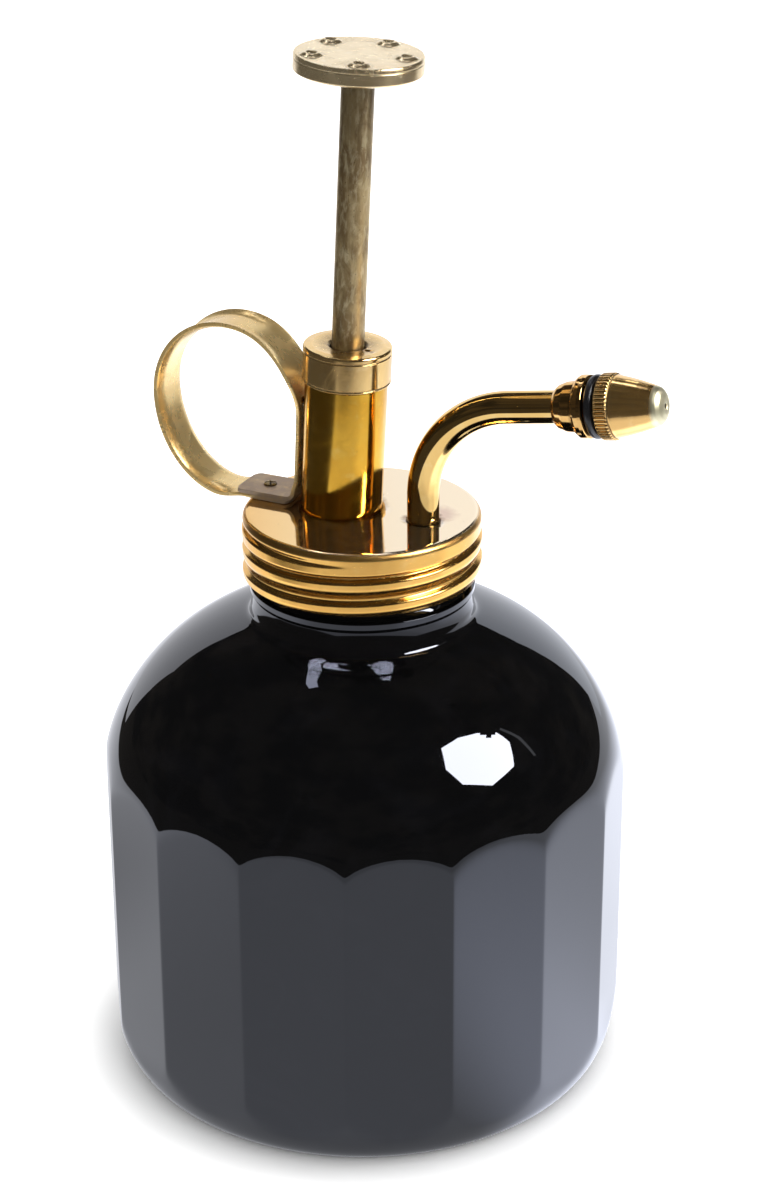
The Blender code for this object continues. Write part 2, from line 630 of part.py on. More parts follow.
def build_nozzle():
    """Nozzle body, and the O-ring between it and the cap."""
    body = turned("nozzle_body", NOZZLE_BODY, steps=24, parent=nozzle)
    finish(body, material("nozzle_brass", (0.62, 0.38, 0.17), roughness=0.22))
    section = arc(ORING_R, ORING_S, ORING_SECTION_R, ORING_SECTION_R, 0.0, -360.0, 8)[:-1]
    oring = turned("nozzle_oring", section, steps=24, parent=nozzle)
    finish(oring, material("black_rubber", (0.012, 0.012, 0.012), roughness=0.40,
                           metallic=0.0))


def build_nozzle_cap():
    tip = turned("nozzle_cap", NOZZLE_CAP, steps=28, parent=nozzle)
    finish(tip, material("nozzle_cap_brass", (0.62, 0.39, 0.18), roughness=0.22))


def build_swirl_core():
    core = turned("swirl_core", SWIRL_CORE, steps=20, parent=nozzle)
    for index, (x, y, angle) in enumerate(spread(SWIRL_SLOTS, SWIRL_CIRCLE_R)):
        slot = block(f"swirl_slot_{index}", SWIRL_SLOT_SIZE, nozzle, at=(x, y, SWIRL_SLOT_S))
        slot.rotation_euler = (0.0, 0.0, angle)
        cut(core, slot)
    finish(core, material("core_brass", INNER_BRASS, roughness=0.30))


# ------------------------------------------------------------------ finger ring
def lean_point(x, s):
    """World (x, z) of a point given in the pump's own frame."""
    return (PUMP_X + x * LEAN_COS + s * LEAN_SIN, LID_TOP - x * LEAN_SIN + s * LEAN_COS)


def strap_path():
    """Foot over the tab, leg up the barrel, round the loop, and back as the tab."""
    leg_x = -(BARREL_R + GAP + STRAP_T / 2)
    bend_x = lean_point(leg_x, 2.9)[0] - FOOT_BEND_R
    joint_a = lean_point(leg_x, 18.0)[0] - RING_X
    return [
        (FOOT_X, FOOT_Z), (bend_x - 1.0, FOOT_Z),
        *arc(bend_x, FOOT_Z + FOOT_BEND_R, FOOT_BEND_R, FOOT_BEND_R, -90.0, 0.0, 3),
        *(lean_point(leg_x, s) for s in (6.0, 10.0, 14.0)),
        *arc(RING_X, RING_Z, joint_a, RING_RISE, RING_JOINT, 90.0, 12)[1:],
        *arc(RING_X, RING_Z, RING_A, RING_RISE, 90.0, 180.0, 12)[1:],
        *arc(RING_X, RING_Z, RING_A, RING_Z - TAB_Z, 180.0, 270.0, 12)[1:],
        (-20.0, TAB_Z), (TAB_X, TAB_Z)]


def build_ring():
    outline = offset_strip(strap_path(), STRAP_T)
    ring = curve_piece("finger_ring", [(x, z, 0.0) for x, z in outline], cyclic=True,
                       dimensions="2D", fill_mode="BOTH", extrude=STRAP_W / 2 * MM)
    # the flat outline is stood up into the X-Z plane
    ring.rotation_euler = (math.pi / 2, 0.0, 0.0)
    cut(ring, rod("strap_hole", RIVET_HOLE_R, LID_TOP - 2.0, LID_TOP + 4.0,
                  at=(RIVET_X, 0, 0), verts=16))
    finish(ring, material("strap_brass", (0.78, 0.60, 0.28), roughness=0.22))


def build_rivet():
    head = FOOT_Z + STRAP_T / 2 + GAP       # underside of the head
    foot = LID_TOP - LID_SKIN + 0.05        # just within the lid's skin
    rivet = turned("ring_rivet", [
        (0.0, head + 0.75), (0.9, head + 0.68), (1.6, head + 0.4), (RIVET_HEAD_R, head),
        (RIVET_R, head), (RIVET_R, foot), (0.0, foot)], steps=20, at=(RIVET_X, 0, 0))
    finish(rivet, material("rivet_brass", (0.50, 0.38, 0.22), roughness=0.45))


for build in (build_bottle, build_lid, build_gasket,
              build_barrel, build_cap, build_packing,
              build_rod, build_button, build_piston, build_cup, build_nut, build_spring,
              build_valve, build_valve_parts, build_dip_tube, build_strainer,
              build_spout, build_nozzle, build_nozzle_cap, build_swirl_core,
              build_ring, build_rivet):
    build()
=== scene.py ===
"""Looks of the hand mister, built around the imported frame.

Sizes are in millimetres here and are turned into metres when a mesh is made.
Two directions lie behind the set: RIGHT runs to the right of the picture and
FRONT runs from the object towards the camera, both level with the floor.
"""
import math

import bpy
import numpy as np
from mathutils import Matrix, Vector


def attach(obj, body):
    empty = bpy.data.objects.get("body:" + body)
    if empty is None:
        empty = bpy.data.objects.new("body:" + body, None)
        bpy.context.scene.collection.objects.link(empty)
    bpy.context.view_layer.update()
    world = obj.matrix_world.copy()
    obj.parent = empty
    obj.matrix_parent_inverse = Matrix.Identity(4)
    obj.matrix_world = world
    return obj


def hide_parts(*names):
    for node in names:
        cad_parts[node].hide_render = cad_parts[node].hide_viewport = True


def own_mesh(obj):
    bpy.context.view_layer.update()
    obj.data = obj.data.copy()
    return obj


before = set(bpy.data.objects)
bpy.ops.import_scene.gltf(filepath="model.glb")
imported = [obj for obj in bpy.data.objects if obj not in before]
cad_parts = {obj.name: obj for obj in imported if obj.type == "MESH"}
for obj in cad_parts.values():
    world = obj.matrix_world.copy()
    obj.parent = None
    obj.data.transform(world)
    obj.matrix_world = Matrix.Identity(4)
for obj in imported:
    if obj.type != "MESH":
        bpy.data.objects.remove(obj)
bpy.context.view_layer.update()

MM = 0.001
PI = math.pi
TAU = math.tau
AZIMUTH = math.radians(25.5)
RIGHT = np.array([math.cos(AZIMUTH), math.sin(AZIMUTH), 0.0])
FRONT = np.array([math.sin(AZIMUTH), -math.cos(AZIMUTH), 0.0])
UP = np.array([0.0, 0.0, 1.0])

LID_TOP = 112.2
LEAN = math.radians(2.9)
TILT = math.radians(9.4)


# ================================================================ frames
def placed(origin, about_y):
    c, s = math.cos(about_y), math.sin(about_y)
    m = np.eye(4)
    m[:3, :3] = [[c, 0, s], [0, 1, 0], [-s, 0, c]]
    m[:3, 3] = origin
    return m


WORLD = np.eye(4)
PUMP = placed((-4.2, 0.0, LID_TOP), LEAN)
NOZZLE = placed((38.5, 0.0, 138.27), PI / 2 - TILT)


# ================================================================ shader nodes
class Nodes:
    """Writes a node tree: every method gives back an output socket."""

    def __init__(self, tree):
        self.tree = tree
        tree.nodes.clear()

    def node(self, kind, inputs=None, **props):
        n = self.tree.nodes.new(kind)
        for key, value in props.items():
            setattr(n, key, value)
        for key, value in (inputs or {}).items():
            self.put(n.inputs[key], value)
        return n

    def put(self, socket, value):
        if isinstance(value, bpy.types.NodeSocket):
            self.tree.links.new(value, socket)
        elif isinstance(value, (tuple, list)) and socket.type == "RGBA" and len(value) == 3:
            socket.default_value = (*value, 1.0)
        else:
            socket.default_value = value

    def math(self, op, a, b=0.0, c=0.0, clamp=False):
        n = self.tree.nodes.new("ShaderNodeMath")
        n.operation = op
        n.use_clamp = clamp
        for socket, value in zip(n.inputs, (a, b, c)):
            self.put(socket, value)
        return n.outputs[0]

    def add(self, a, b):
        return self.math("ADD", a, b)

    def mul(self, a, b):
        return self.math("MULTIPLY", a, b)

    def vec(self, op, a, b=(0.0, 0.0, 0.0)):
        n = self.tree.nodes.new("ShaderNodeVectorMath")
        n.operation = op
        self.put(n.inputs[0], a)
        if op == "SCALE":
            self.put(n.inputs[3], b)
        else:
            self.put(n.inputs[1], b)
        return n.outputs[1] if op in ("DOT_PRODUCT", "LENGTH") else n.outputs[0]

    def split(self, v):
        return self.node("ShaderNodeSeparateXYZ", {0: v}).outputs

    def join(self, x, y, z):
        return self.node("ShaderNodeCombineXYZ", {0: x, 1: y, 2: z}).outputs[0]

    def step(self, value, low, high, a=0.0, b=1.0, smooth=True):
        """0 below low, 1 above high, mapped to a..b."""
        n = self.tree.nodes.new("ShaderNodeMapRange")
        n.interpolation_type = "SMOOTHSTEP" if smooth else "LINEAR"
        n.clamp = True
        for socket, v in zip(n.inputs[:5], (value, low, high, a, b)):
            self.put(socket, v)
        return n.outputs[0]

    def mix(self, factor, a, b, mode="MIX"):
        n = self.tree.nodes.new("ShaderNodeMix")
        n.data_type = "RGBA"
        n.blend_type = mode
        n.clamp_factor = True
        self.put(n.inputs[0], factor)
        self.put(n.inputs[6], a)
        self.put(n.inputs[7], b)
        return n.outputs[2]

    def noise(self, vector, scale, detail=2.0, rough=0.5, distortion=0.0):
        n = self.node("ShaderNodeTexNoise", {"Vector": vector, "Scale": scale,
                      "Detail": detail, "Roughness": rough, "Distortion": distortion})
        return n.outputs["Fac"]

    def noise_colour(self, vector, scale, detail=2.0):
        n = self.node("ShaderNodeTexNoise", {"Vector": vector, "Scale": scale, "Detail": detail})
        return n.outputs["Color"]

    def voronoi(self, vector, scale, feature="F1", randomness=1.0):
        n = self.node("ShaderNodeTexVoronoi", {"Vector": vector, "Scale": scale,
                      "Randomness": randomness}, feature=feature)
        return n.outputs["Distance"]

    def bump(self, height, distance_mm, normal=None, strength=1.0):
        n = self.node("ShaderNodeBump", {"Strength": strength, "Distance": distance_mm * MM,
                      "Height": height})
        if normal is not None:
            self.put(n.inputs["Normal"], normal)
        return n.outputs[0]

    def surface(self, shader):
        out = self.node("ShaderNodeOutputMaterial")
        self.tree.links.new(shader, out.inputs["Surface"])

    def piece_surface(self, shader):
        """A surface that mirror rays from the dome pass through, so that the
        dome shows the dark studio and not the lid and pump above it."""
        path = self.node("ShaderNodeLightPath").outputs
        hit = self.node("ShaderNodeNewGeometry").outputs
        start = self.vec("ADD", hit["Position"], self.vec("SCALE", hit["Incoming"], path["Ray Length"]))
        low = self.step(self.split(start)[2], 0.0917, 0.0913)
        hidden = self.mul(path["Is Glossy Ray"], low)
        clear = self.node("ShaderNodeBsdfTransparent")
        mix = self.node("ShaderNodeMixShader", {0: hidden, 1: shader, 2: clear.outputs[0]})
        self.surface(mix.outputs[0])


def new_material(name):
    mat = bpy.data.materials.new(name)
    mat.use_nodes = True
    return mat, Nodes(mat.node_tree)


def local_mm(n, own=True):
    """Each piece's own coordinates in millimetres."""
    if own:
        return n.node("ShaderNodeAttribute", attribute_name="loc").outputs["Vector"]
    return n.vec("SCALE", n.node("ShaderNodeTexCoord").outputs["Object"], 1000.0)


def brass(name, face, deep, pale, rough=0.10, patches=0.5, haze=0.08, lines="turned",
          line_depth=0.0006, line_scale=6.0, specks=0.25, grime=(0.030, 0.020, 0.012),
          wobble=0.004, own=True, seed=0.0, spot_colour=(0.16, 0.09, 0.03), zones=(),
          stains_and_painted_reflections=(), dull=(), satin=0.0, by_object=False):
    """Polished, slightly aged brass. face, deep and pale are its three tones."""
    mat, n = new_material(name)
    raw = local_mm(n, own and not by_object)
    p = n.vec("ADD", raw, (seed, seed * 0.7, -seed * 1.3))
    broad = n.noise(p, 0.085, 3.0, 0.55, 0.6)
    middle = n.noise(p, 0.42, 4.0, 0.6, 0.4)
    fine = n.noise(p, 2.6, 4.0, 0.6)
    tone = n.mix(n.mul(n.step(broad, 0.40, 0.68), patches), face, deep)
    tone = n.mix(n.mul(n.step(middle, 0.50, 0.78), patches * 0.7), tone, pale)
    tone = n.mix(n.mul(n.step(fine, 0.52, 0.80), patches * 0.35), tone, deep)
    # places that are paler or darker than the rest; on the lid's top a paler right side is painted sheen
    for axis, low, high, colour, above in zones:
        where_to = n.step(n.vec("DOT_PRODUCT", raw, axis), low, high)
        if above is not None:
            where_to = n.mul(where_to, n.step(n.split(raw)[2], above, above + 0.05))
        tone = n.mix(where_to, tone, colour)
    # stain rings round soldered joints, and patches of painted reflection: (x, y, full inside, gone outside, colour,
    # amount, above)
    for sx, sy, inside, outside, colour, amount, above in stains_and_painted_reflections:
        away = n.vec("LENGTH", n.vec("MULTIPLY", n.vec("SUBTRACT", raw, (sx, sy, 0.0)), (1.0, 1.0, 0.0)))
        away = n.add(away, n.mul(n.math("SUBTRACT", middle, 0.5), 2.2))
        where_to = n.mul(n.step(away, outside, inside, 0.0, amount),
                         n.step(n.split(raw)[2], above, above + 0.05))
        tone = n.mix(where_to, tone, colour)
    # small dark spots of tarnish
    dots = n.voronoi(p, 0.55)
    gate = n.step(n.noise(p, 0.31, 2.0), 0.50, 0.62)
    spot = n.mul(n.mul(n.step(dots, 0.10, 0.03), gate), specks)
    tone = n.mix(spot, tone, spot_colour)
    # dirt gathered where a mesh says so
    dirt = n.node("ShaderNodeAttribute", attribute_name="grime").outputs["Fac"]
    dirt = n.math("MULTIPLY", dirt, n.step(middle, 0.20, 0.62, 0.55, 1.0), clamp=True)
    if own:
        tone = n.mix(dirt, tone, grime)
    # hairlines left by turning or by polishing along the piece
    x, y, z = n.split(p)
    if lines == "turned":
        lx, ly, lz = n.split(raw)
        radius = n.math("SQRT", n.add(n.mul(lx, lx), n.mul(ly, ly)))
        safe = n.math("MAXIMUM", radius, 0.05)
        streak = n.join(n.math("DIVIDE", lx, safe), n.math("DIVIDE", ly, safe),
                        n.mul(n.add(lz, radius), line_scale))
        streak = n.noise(streak, 1.2, 4.0, 0.65)
    elif lines == "along":
        streak = n.noise(n.join(n.mul(x, 0.12), n.mul(y, line_scale), n.mul(z, line_scale)), 1.0, 4.0, 0.65)
    else:
        streak = fine
    scratch = n.noise(n.join(n.mul(x, 0.25), n.mul(y, 3.5), n.mul(z, 0.6)), 1.6, 3.0, 0.7, 1.2)
    height = n.add(streak, n.mul(scratch, 0.5))
    swell = n.bump(n.noise(p, 0.16, 1.0), wobble)
    normal = n.bump(height, line_depth, swell)
    smudge = n.step(n.noise(p, 0.20, 3.0, 0.6, 1.5), 0.45, 0.75)
    roughness = n.add(rough, n.mul(smudge, haze))
    roughness = n.add(roughness, n.mul(streak, rough * 0.35))
    if own:
        roughness = n.add(roughness, n.mul(dirt, 0.35))
    # bands along z that are duller: (from, full from, full to, to, extra roughness, colour, amount)
    for z0, z1, z2, z3, extra, colour, amount in dull:
        raw_z = n.split(raw)[2]
        inside = n.mul(n.step(raw_z, z0, z1), n.step(raw_z, z3, z2))
        roughness = n.add(roughness, n.mul(inside, extra))
        tone = n.mix(n.mul(inside, amount), tone, colour)
    bsdf = n.node("ShaderNodeBsdfPrincipled", {"Base Color": tone, "Metallic": 1.0 - satin,
                  "Roughness": roughness, "Normal": normal})
    n.piece_surface(bsdf.outputs[0])
    return mat


def tarnished(name, tones, rough=0.30, seed=0.0, stretch=0.35, own=True):
    """Brass gone brown and olive: three tones in blotches drawn out along z."""
    mat, n = new_material(name)
    raw = local_mm(n, own)
    p = n.vec("ADD", n.vec("MULTIPLY", raw, (1.0, 1.0, stretch)), (seed, seed, seed))
    a = n.noise(p, 0.30, 5.0, 0.62, 0.8)
    b = n.noise(p, 0.95, 5.0, 0.65, 0.5)
    c = n.noise(n.vec("MULTIPLY", raw, (1.0, 1.0, 0.12)), 3.2, 4.0, 0.7)
    tone = n.mix(n.step(a, 0.36, 0.64), tones[0], tones[1])
    tone = n.mix(n.mul(n.step(b, 0.46, 0.70), 0.75), tone, tones[2])
    tone = n.mix(n.mul(n.step(c, 0.45, 0.75), 0.35), tone, tones[0])
    pits = n.step(n.voronoi(raw, 0.9), 0.13, 0.03)
    tone = n.mix(n.mul(pits, 0.55), tone, (0.02, 0.014, 0.008))
    dirt = n.node("ShaderNodeAttribute", attribute_name="grime").outputs["Fac"]
    if own:
        tone = n.mix(dirt, tone, (0.014, 0.010, 0.008))
    rings = n.noise(n.vec("MULTIPLY", raw, (0.2, 0.2, 9.0)), 1.0, 4.0, 0.7)
    height = n.add(n.mul(b, 1.6), n.add(n.mul(rings, 0.6), n.mul(pits, -1.0)))
    normal = n.bump(height, 0.0035)
    roughness = n.add(rough, n.mul(n.step(b, 0.35, 0.75), 0.16))
    bsdf = n.node("ShaderNodeBsdfPrincipled", {"Base Color": tone, "Metallic": 0.84,
                  "Roughness": roughness, "Normal": normal})
    n.piece_surface(bsdf.outputs[0])
    return mat


def black_glass():
    """Opaque black glass: a smooth skin with the slow waves of moulded glass."""
    mat, n = new_material("black_glass")
    p = local_mm(n)
    waves = n.noise(p, 0.045, 1.0, 0.4)
    ripple = n.noise(p, 0.16, 2.0, 0.5)
    orange_peel = n.noise(p, 1.4, 2.0, 0.5)
    normal = n.bump(waves, 0.030)
    normal = n.bump(ripple, 0.0028, normal)
    normal = n.bump(orange_peel, 0.00007, normal)
    smudge = n.step(n.noise(p, 0.06, 4.0, 0.6, 2.0), 0.46, 0.72)
    dust = n.step(n.voronoi(p, 0.75), 0.040, 0.012)
    sparse = n.step(n.noise(p, 0.22, 2.0), 0.54, 0.64)
    dust = n.mul(n.mul(dust, sparse), 0.10)
    roughness = n.add(0.018, n.add(n.mul(smudge, 0.022), n.mul(dust, 0.5)))
    colour = n.mix(smudge, (0.0030, 0.0030, 0.0032), (0.0042, 0.0042, 0.0048))
    colour = n.mix(dust, colour, (0.20, 0.20, 0.20))
    bsdf = n.node("ShaderNodeBsdfPrincipled", {"Base Color": colour, "Roughness": roughness,
                  "IOR": 1.53, "Specular Tint": (0.88, 0.91, 1.0, 1.0), "Normal": normal})
    n.piece_surface(bsdf.outputs[0])
    return mat


def rubber(name, colour, rough, own=True):
    mat, n = new_material(name)
    p = local_mm(n, own)
    grain = n.noise(p, 5.0, 4.0, 0.7)
    tone = n.mix(n.step(grain, 0.3, 0.8), colour, tuple(min(1.0, c * 2.2 + 0.004) for c in colour))
    bsdf = n.node("ShaderNodeBsdfPrincipled", {"Base Color": tone,
                  "Roughness": n.add(rough, n.mul(grain, 0.15)), "IOR": 1.5,
                  "Normal": n.bump(grain, 0.004)})
    n.piece_surface(bsdf.outputs[0])
    return mat


def felt(name, own=True):
    mat, n = new_material(name)
    p = local_mm(n, own)
    hairs = n.noise(n.vec("MULTIPLY", p, (6.0, 1.2, 3.0)), 1.5, 6.0, 0.75, 3.0)
    tone = n.mix(n.step(hairs, 0.3, 0.75), (0.16, 0.12, 0.08), (0.42, 0.35, 0.26))
    bsdf = n.node("ShaderNodeBsdfPrincipled", {"Base Color": tone, "Roughness": 0.95,
                  "Sheen Weight": 0.4, "Normal": n.bump(hairs, 0.12)})
    n.piece_surface(bsdf.outputs[0])
    return mat


def leather(name, own=True):
    mat, n = new_material(name)
    p = local_mm(n, own)
    cells = n.voronoi(p, 2.2)
    stain = n.noise(p, 0.5, 4.0, 0.6)
    tone = n.mix(n.step(stain, 0.3, 0.7), (0.10, 0.045, 0.018), (0.27, 0.14, 0.06))
    tone = n.mix(n.mul(n.step(cells, 0.2, 0.5), 0.4), tone, (0.06, 0.028, 0.012))
    bsdf = n.node("ShaderNodeBsdfPrincipled", {"Base Color": tone, "Roughness": 0.55,
                  "Normal": n.bump(cells, 0.05)})
    n.piece_surface(bsdf.outputs[0])
    return mat


def steel(name, rough=0.18, own=True, seed=0.0):
    mat, n = new_material(name)
    p = n.vec("ADD", local_mm(n, own), (seed, seed, seed))
    blotch = n.noise(p, 0.6, 4.0, 0.6)
    hair = n.noise(n.vec("MULTIPLY", p, (1.0, 1.0, 6.0)), 2.0, 4.0, 0.7)
    tone = n.mix(n.step(blotch, 0.4, 0.75), (0.56, 0.56, 0.58), (0.40, 0.38, 0.36))
    bsdf = n.node("ShaderNodeBsdfPrincipled", {"Base Color": tone, "Metallic": 1.0,
                  "Roughness": n.add(rough, n.mul(hair, 0.12)), "Normal": n.bump(hair, 0.001)})
    n.piece_surface(bsdf.outputs[0])
    return mat


# ================================================================ meshes
def build(name, points, faces, mat, body, replaces=(), at=WORLD, grime=None,
          loc=None, sharp=None, mats=None):
    """A mesh from points in a local frame, in mm, riding on a body of the frame."""
    points = np.asarray(points, float)
    world = (points @ at[:3, :3].T + at[:3, 3]) * MM
    mesh = bpy.data.meshes.new(name)
    mesh.from_pydata(world.tolist(), [], faces)
    mesh.update()
    # faces point outwards
    tris = np.array([f[:3] for f in faces])
    a, b, c = world[tris[:, 0]], world[tris[:, 1]], world[tris[:, 2]]
    volume = np.einsum("ij,ij->i", a, np.cross(b, c)).sum()
    quads = np.array([(f[0], f[2], f[3]) for f in faces if len(f) == 4])
    if len(quads):
        a, b, c = world[quads[:, 0]], world[quads[:, 1]], world[quads[:, 2]]
        volume += np.einsum("ij,ij->i", a, np.cross(b, c)).sum()
    if volume < 0:
        mesh.flip_normals()
    attribute = mesh.attributes.new("loc", "FLOAT_VECTOR", "POINT")
    attribute.data.foreach_set("vector", (points if loc is None else np.asarray(loc, float))
                               .astype(np.float32).ravel())
    attribute = mesh.attributes.new("grime", "FLOAT", "POINT")
    values = np.zeros(len(points)) if grime is None else np.asarray(grime, float)
    attribute.data.foreach_set("value", values.astype(np.float32))
    mesh.shade_smooth()
    if sharp:
        mesh.set_sharp_from_angle(angle=math.radians(sharp))
    mesh.materials.append(mat)
    obj = bpy.data.objects.new(name, mesh)
    bpy.context.scene.collection.objects.link(obj)
    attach(obj, body)
    if replaces:
        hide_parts(*replaces)
    return obj


def grid_faces(rows, cols, wrap_rows=False, wrap_cols=True, offset=0):
    faces = []
    last_row = rows if wrap_rows else rows - 1
    last_col = cols if wrap_cols else cols - 1
    for i in range(last_row):
        i2 = (i + 1) % rows
        for j in range(last_col):
            j2 = (j + 1) % cols
            faces.append((offset + i * cols + j, offset + i * cols + j2,
                          offset + i2 * cols + j2, offset + i2 * cols + j))
    return faces


def fillet(points, closed=False, steps=6):
    """Rounds a profile: each point is (r, z) or (r, z, radius)."""
    pts = [(p[0], p[1], p[2] if len(p) > 2 else 0.0) for p in points]
    out = []
    count = len(pts)
    for i, (x, z, rad) in enumerate(pts):
        ends = not closed and i in (0, count - 1)
        if rad <= 0 or ends:
            out.append((x, z))
            continue
        p = np.array([x, z])
        a = np.array(pts[i - 1][:2]) - p
        b = np.array(pts[(i + 1) % count][:2]) - p
        la, lb = np.linalg.norm(a), np.linalg.norm(b)
        a, b = a / la, b / lb
        cosine = float(np.clip(a @ b, -1, 1))
        half = math.acos(cosine) / 2
        if half > PI / 2 - 0.01:
            out.append((x, z))
            continue
        back = min(rad / math.tan(half), 0.48 * la, 0.48 * lb)
        rad = back * math.tan(half)
        centre = p + (a + b) / np.linalg.norm(a + b) * rad / math.sin(half)
        s = p + a * back - centre
        e = p + b * back - centre
        sweep = math.atan2(s[0] * e[1] - s[1] * e[0], s @ e)
        n = max(2, int(math.ceil(abs(math.degrees(sweep)) / 90 * steps)) + 1)
        # a support point just before and after keeps flat faces flat
        out.append(tuple(p + a * min(back * 1.12, 0.49 * la)))
        for k in range(n + 1):
            t = sweep * k / n
            c, sn = math.cos(t), math.sin(t)
            out.append((centre[0] + c * s[0] - sn * s[1], centre[1] + sn * s[0] + c * s[1]))
        out.append(tuple(p + b * min(back * 1.12, 0.49 * lb)))
    return out


def lathe(name, profile, mat, body, replaces=(), at=WORLD, cols=128, closed=False,
          grime=None, steps=6, shape=None, raw=False):
    """Turns a profile of (r, z[, fillet]) about the local z axis.

    An open profile starts and ends on the axis. shape(theta, r, z) may move the
    points; grime(r, z) gives where dirt gathers."""
    prof = list(profile) if raw else fillet(profile, closed, steps)
    theta = np.arange(cols) * TAU / cols
    verts, faces, dirt = [], [], []
    r = np.array([p[0] for p in prof])
    z = np.array([p[1] for p in prof])
    start = 0 if closed else 1
    stop = len(prof) if closed else len(prof) - 1
    rr, zz = r[start:stop], z[start:stop]
    R = np.repeat(rr[:, None], cols, 1)
    Z = np.repeat(zz[:, None], cols, 1)
    T = np.repeat(theta[None, :], len(rr), 0)
    if shape is not None:
        R, Z = shape(T, R, Z)
    pts = np.stack([R * np.cos(T), R * np.sin(T), Z], -1).reshape(-1, 3)
    rows = len(rr)
    faces = grid_faces(rows, cols, wrap_rows=closed)
    if not closed:
        pts = np.vstack([pts, [[0, 0, z[0]], [0, 0, z[-1]]]])
        top, bottom = rows * cols, rows * cols + 1
        for j in range(cols):
            j2 = (j + 1) % cols
            faces.append((top, j2, j))
            faces.append((bottom, (rows - 1) * cols + j, (rows - 1) * cols + j2))
    if grime is not None:
        radius = np.hypot(pts[:, 0], pts[:, 1])
        dirt = np.clip(grime(radius, pts[:, 2]), 0, 1)
    else:
        dirt = None
    return build(name, pts, faces, mat, body, replaces, at, dirt)


def near(value, centre, width):
    """1 at centre, falling smoothly to 0 at width away."""
    t = np.clip(1.0 - np.abs(value - centre) / width, 0, 1)
    return t * t * (3 - 2 * t)


def ease(t):
    t = np.clip(t, 0.0, 1.0)
    return t * t * (3.0 - 2.0 * t)


def soft_min(a, b, k):
    m = np.minimum(a, b)
    return m - k * np.log1p(np.exp(-np.abs(a - b) / k))


# ================================================================ materials
glass_mat = black_glass()
on_right = tuple(float(v) for v in RIGHT)
lid_mat = brass("lid_brass", (0.81, 0.45, 0.10), (0.70, 0.34, 0.055), (0.88, 0.60, 0.24),
                rough=0.055, patches=0.55, haze=0.07, lines="turned", line_depth=0.0005,
                line_scale=5.0, specks=0.3, seed=3.1, grime=(0.115, 0.064, 0.024),
                # zones: the top face turns paler and creamier towards the right, a painted sheen where that side
                # mirrors the bright lamps
                zones=((on_right, -30.0, -12.0, (0.84, 0.56, 0.23), 111.9),
                       (on_right, -16.0, 8.0, (0.87, 0.72, 0.50), 111.9)),
                # dark rings of flux stain round the soldered feet of the barrel and the spout; the pale beige patch
                # beside the spout is a painted reflection
                stains_and_painted_reflections=((-4.2, 0.0, 7.9, 9.0, (0.30, 0.17, 0.08), 0.55, 112.1),
                        (13.6, 3.4, 1.8, 5.0, (0.52, 0.33, 0.27), 0.60, 112.1),
                        (12.5, 0.0, 3.1, 4.3, (0.22, 0.12, 0.07), 0.70, 112.1)),
                dull=((110.9, 111.15, 111.95, 112.17, 0.24, (0.62, 0.36, 0.12), 0.6),
                      (95.0, 96.0, 110.95, 111.2, 0.085, (0.80, 0.50, 0.17), 0.3)),
                satin=0.02, by_object=True)
barrel_mat = brass("barrel_brass", (0.86, 0.49, 0.060), (0.76, 0.38, 0.035), (0.92, 0.64, 0.18),
                   rough=0.055, patches=0.6, haze=0.05, lines="turned", line_depth=0.0004,
                   specks=0.35, seed=11.0)
cap_mat = brass("cap_brass", (0.84, 0.58, 0.24), (0.68, 0.44, 0.17), (0.90, 0.72, 0.42),
                rough=0.115, patches=0.6, haze=0.10, lines="turned", line_depth=0.0008,
                specks=0.3, seed=17.0, satin=0.05)
strap_mat = brass("strap_brass", (0.86, 0.63, 0.27), (0.72, 0.46, 0.15), (0.93, 0.79, 0.49),
                  rough=0.22, patches=0.5, haze=0.10, lines="along", line_depth=0.0012,
                  line_scale=5.0, specks=0.2, seed=23.0, grime=(0.42, 0.325, 0.26), satin=0.30)
rivet_mat = tarnished("rivet_brass", ((0.10, 0.06, 0.03), (0.52, 0.38, 0.16), (0.70, 0.55, 0.25)),
                      rough=0.32, seed=5.0, stretch=1.0)
rod_mat = tarnished("rod_brass", ((0.30, 0.205, 0.095), (0.58, 0.44, 0.22), (0.72, 0.61, 0.37)),
                    rough=0.33, seed=2.0)
button_mat = brass("button_brass", (0.90, 0.73, 0.44), (0.74, 0.55, 0.29), (0.96, 0.86, 0.66),
                   rough=0.19, patches=0.5, haze=0.12, lines="turned", line_depth=0.0016,
                   specks=0.4, seed=31.0, satin=0.10, grime=(0.20, 0.15, 0.09))
spout_mat = brass("spout_brass", (0.84, 0.56, 0.20), (0.74, 0.44, 0.13), (0.90, 0.70, 0.36),
                  rough=0.055, patches=0.5, haze=0.05, lines="along", line_depth=0.0004,
                  specks=0.3, seed=41.0)
nozzle_mat = brass("nozzle_brass", (0.80, 0.48, 0.17), (0.66, 0.34, 0.09), (0.88, 0.64, 0.32),
                   rough=0.07, patches=0.6, haze=0.05, lines="turned", line_depth=0.0006,
                   specks=0.3, seed=47.0)
tip_mat = brass("nozzle_cap_brass", (0.84, 0.54, 0.20), (0.76, 0.44, 0.15), (0.90, 0.68, 0.36),
                rough=0.125, patches=0.4, haze=0.05, lines="turned", line_depth=0.0008,
                specks=0.12, seed=53.0, grime=(0.13, 0.09, 0.05),
                zones=(((0.0, 0.0, 1.0), 18.5, 19.2, (0.74, 0.68, 0.45), None),),
                dull=((18.2, 19.2, 30.0, 31.0, 0.24, (0.74, 0.68, 0.45), 0.5),), satin=0.05)
inner_mat = brass("inner_brass", (0.72, 0.48, 0.20), (0.52, 0.32, 0.12), (0.80, 0.60, 0.32),
                  rough=0.22, patches=0.7, haze=0.12, lines="none", line_depth=0.002,
                  own=False, seed=61.0)
inner_own_mat = brass("inner_brass_turned", (0.72, 0.48, 0.20), (0.52, 0.32, 0.12), (0.80, 0.60, 0.32),
                      rough=0.20, patches=0.7, haze=0.12, lines="turned", line_depth=0.002, seed=67.0)
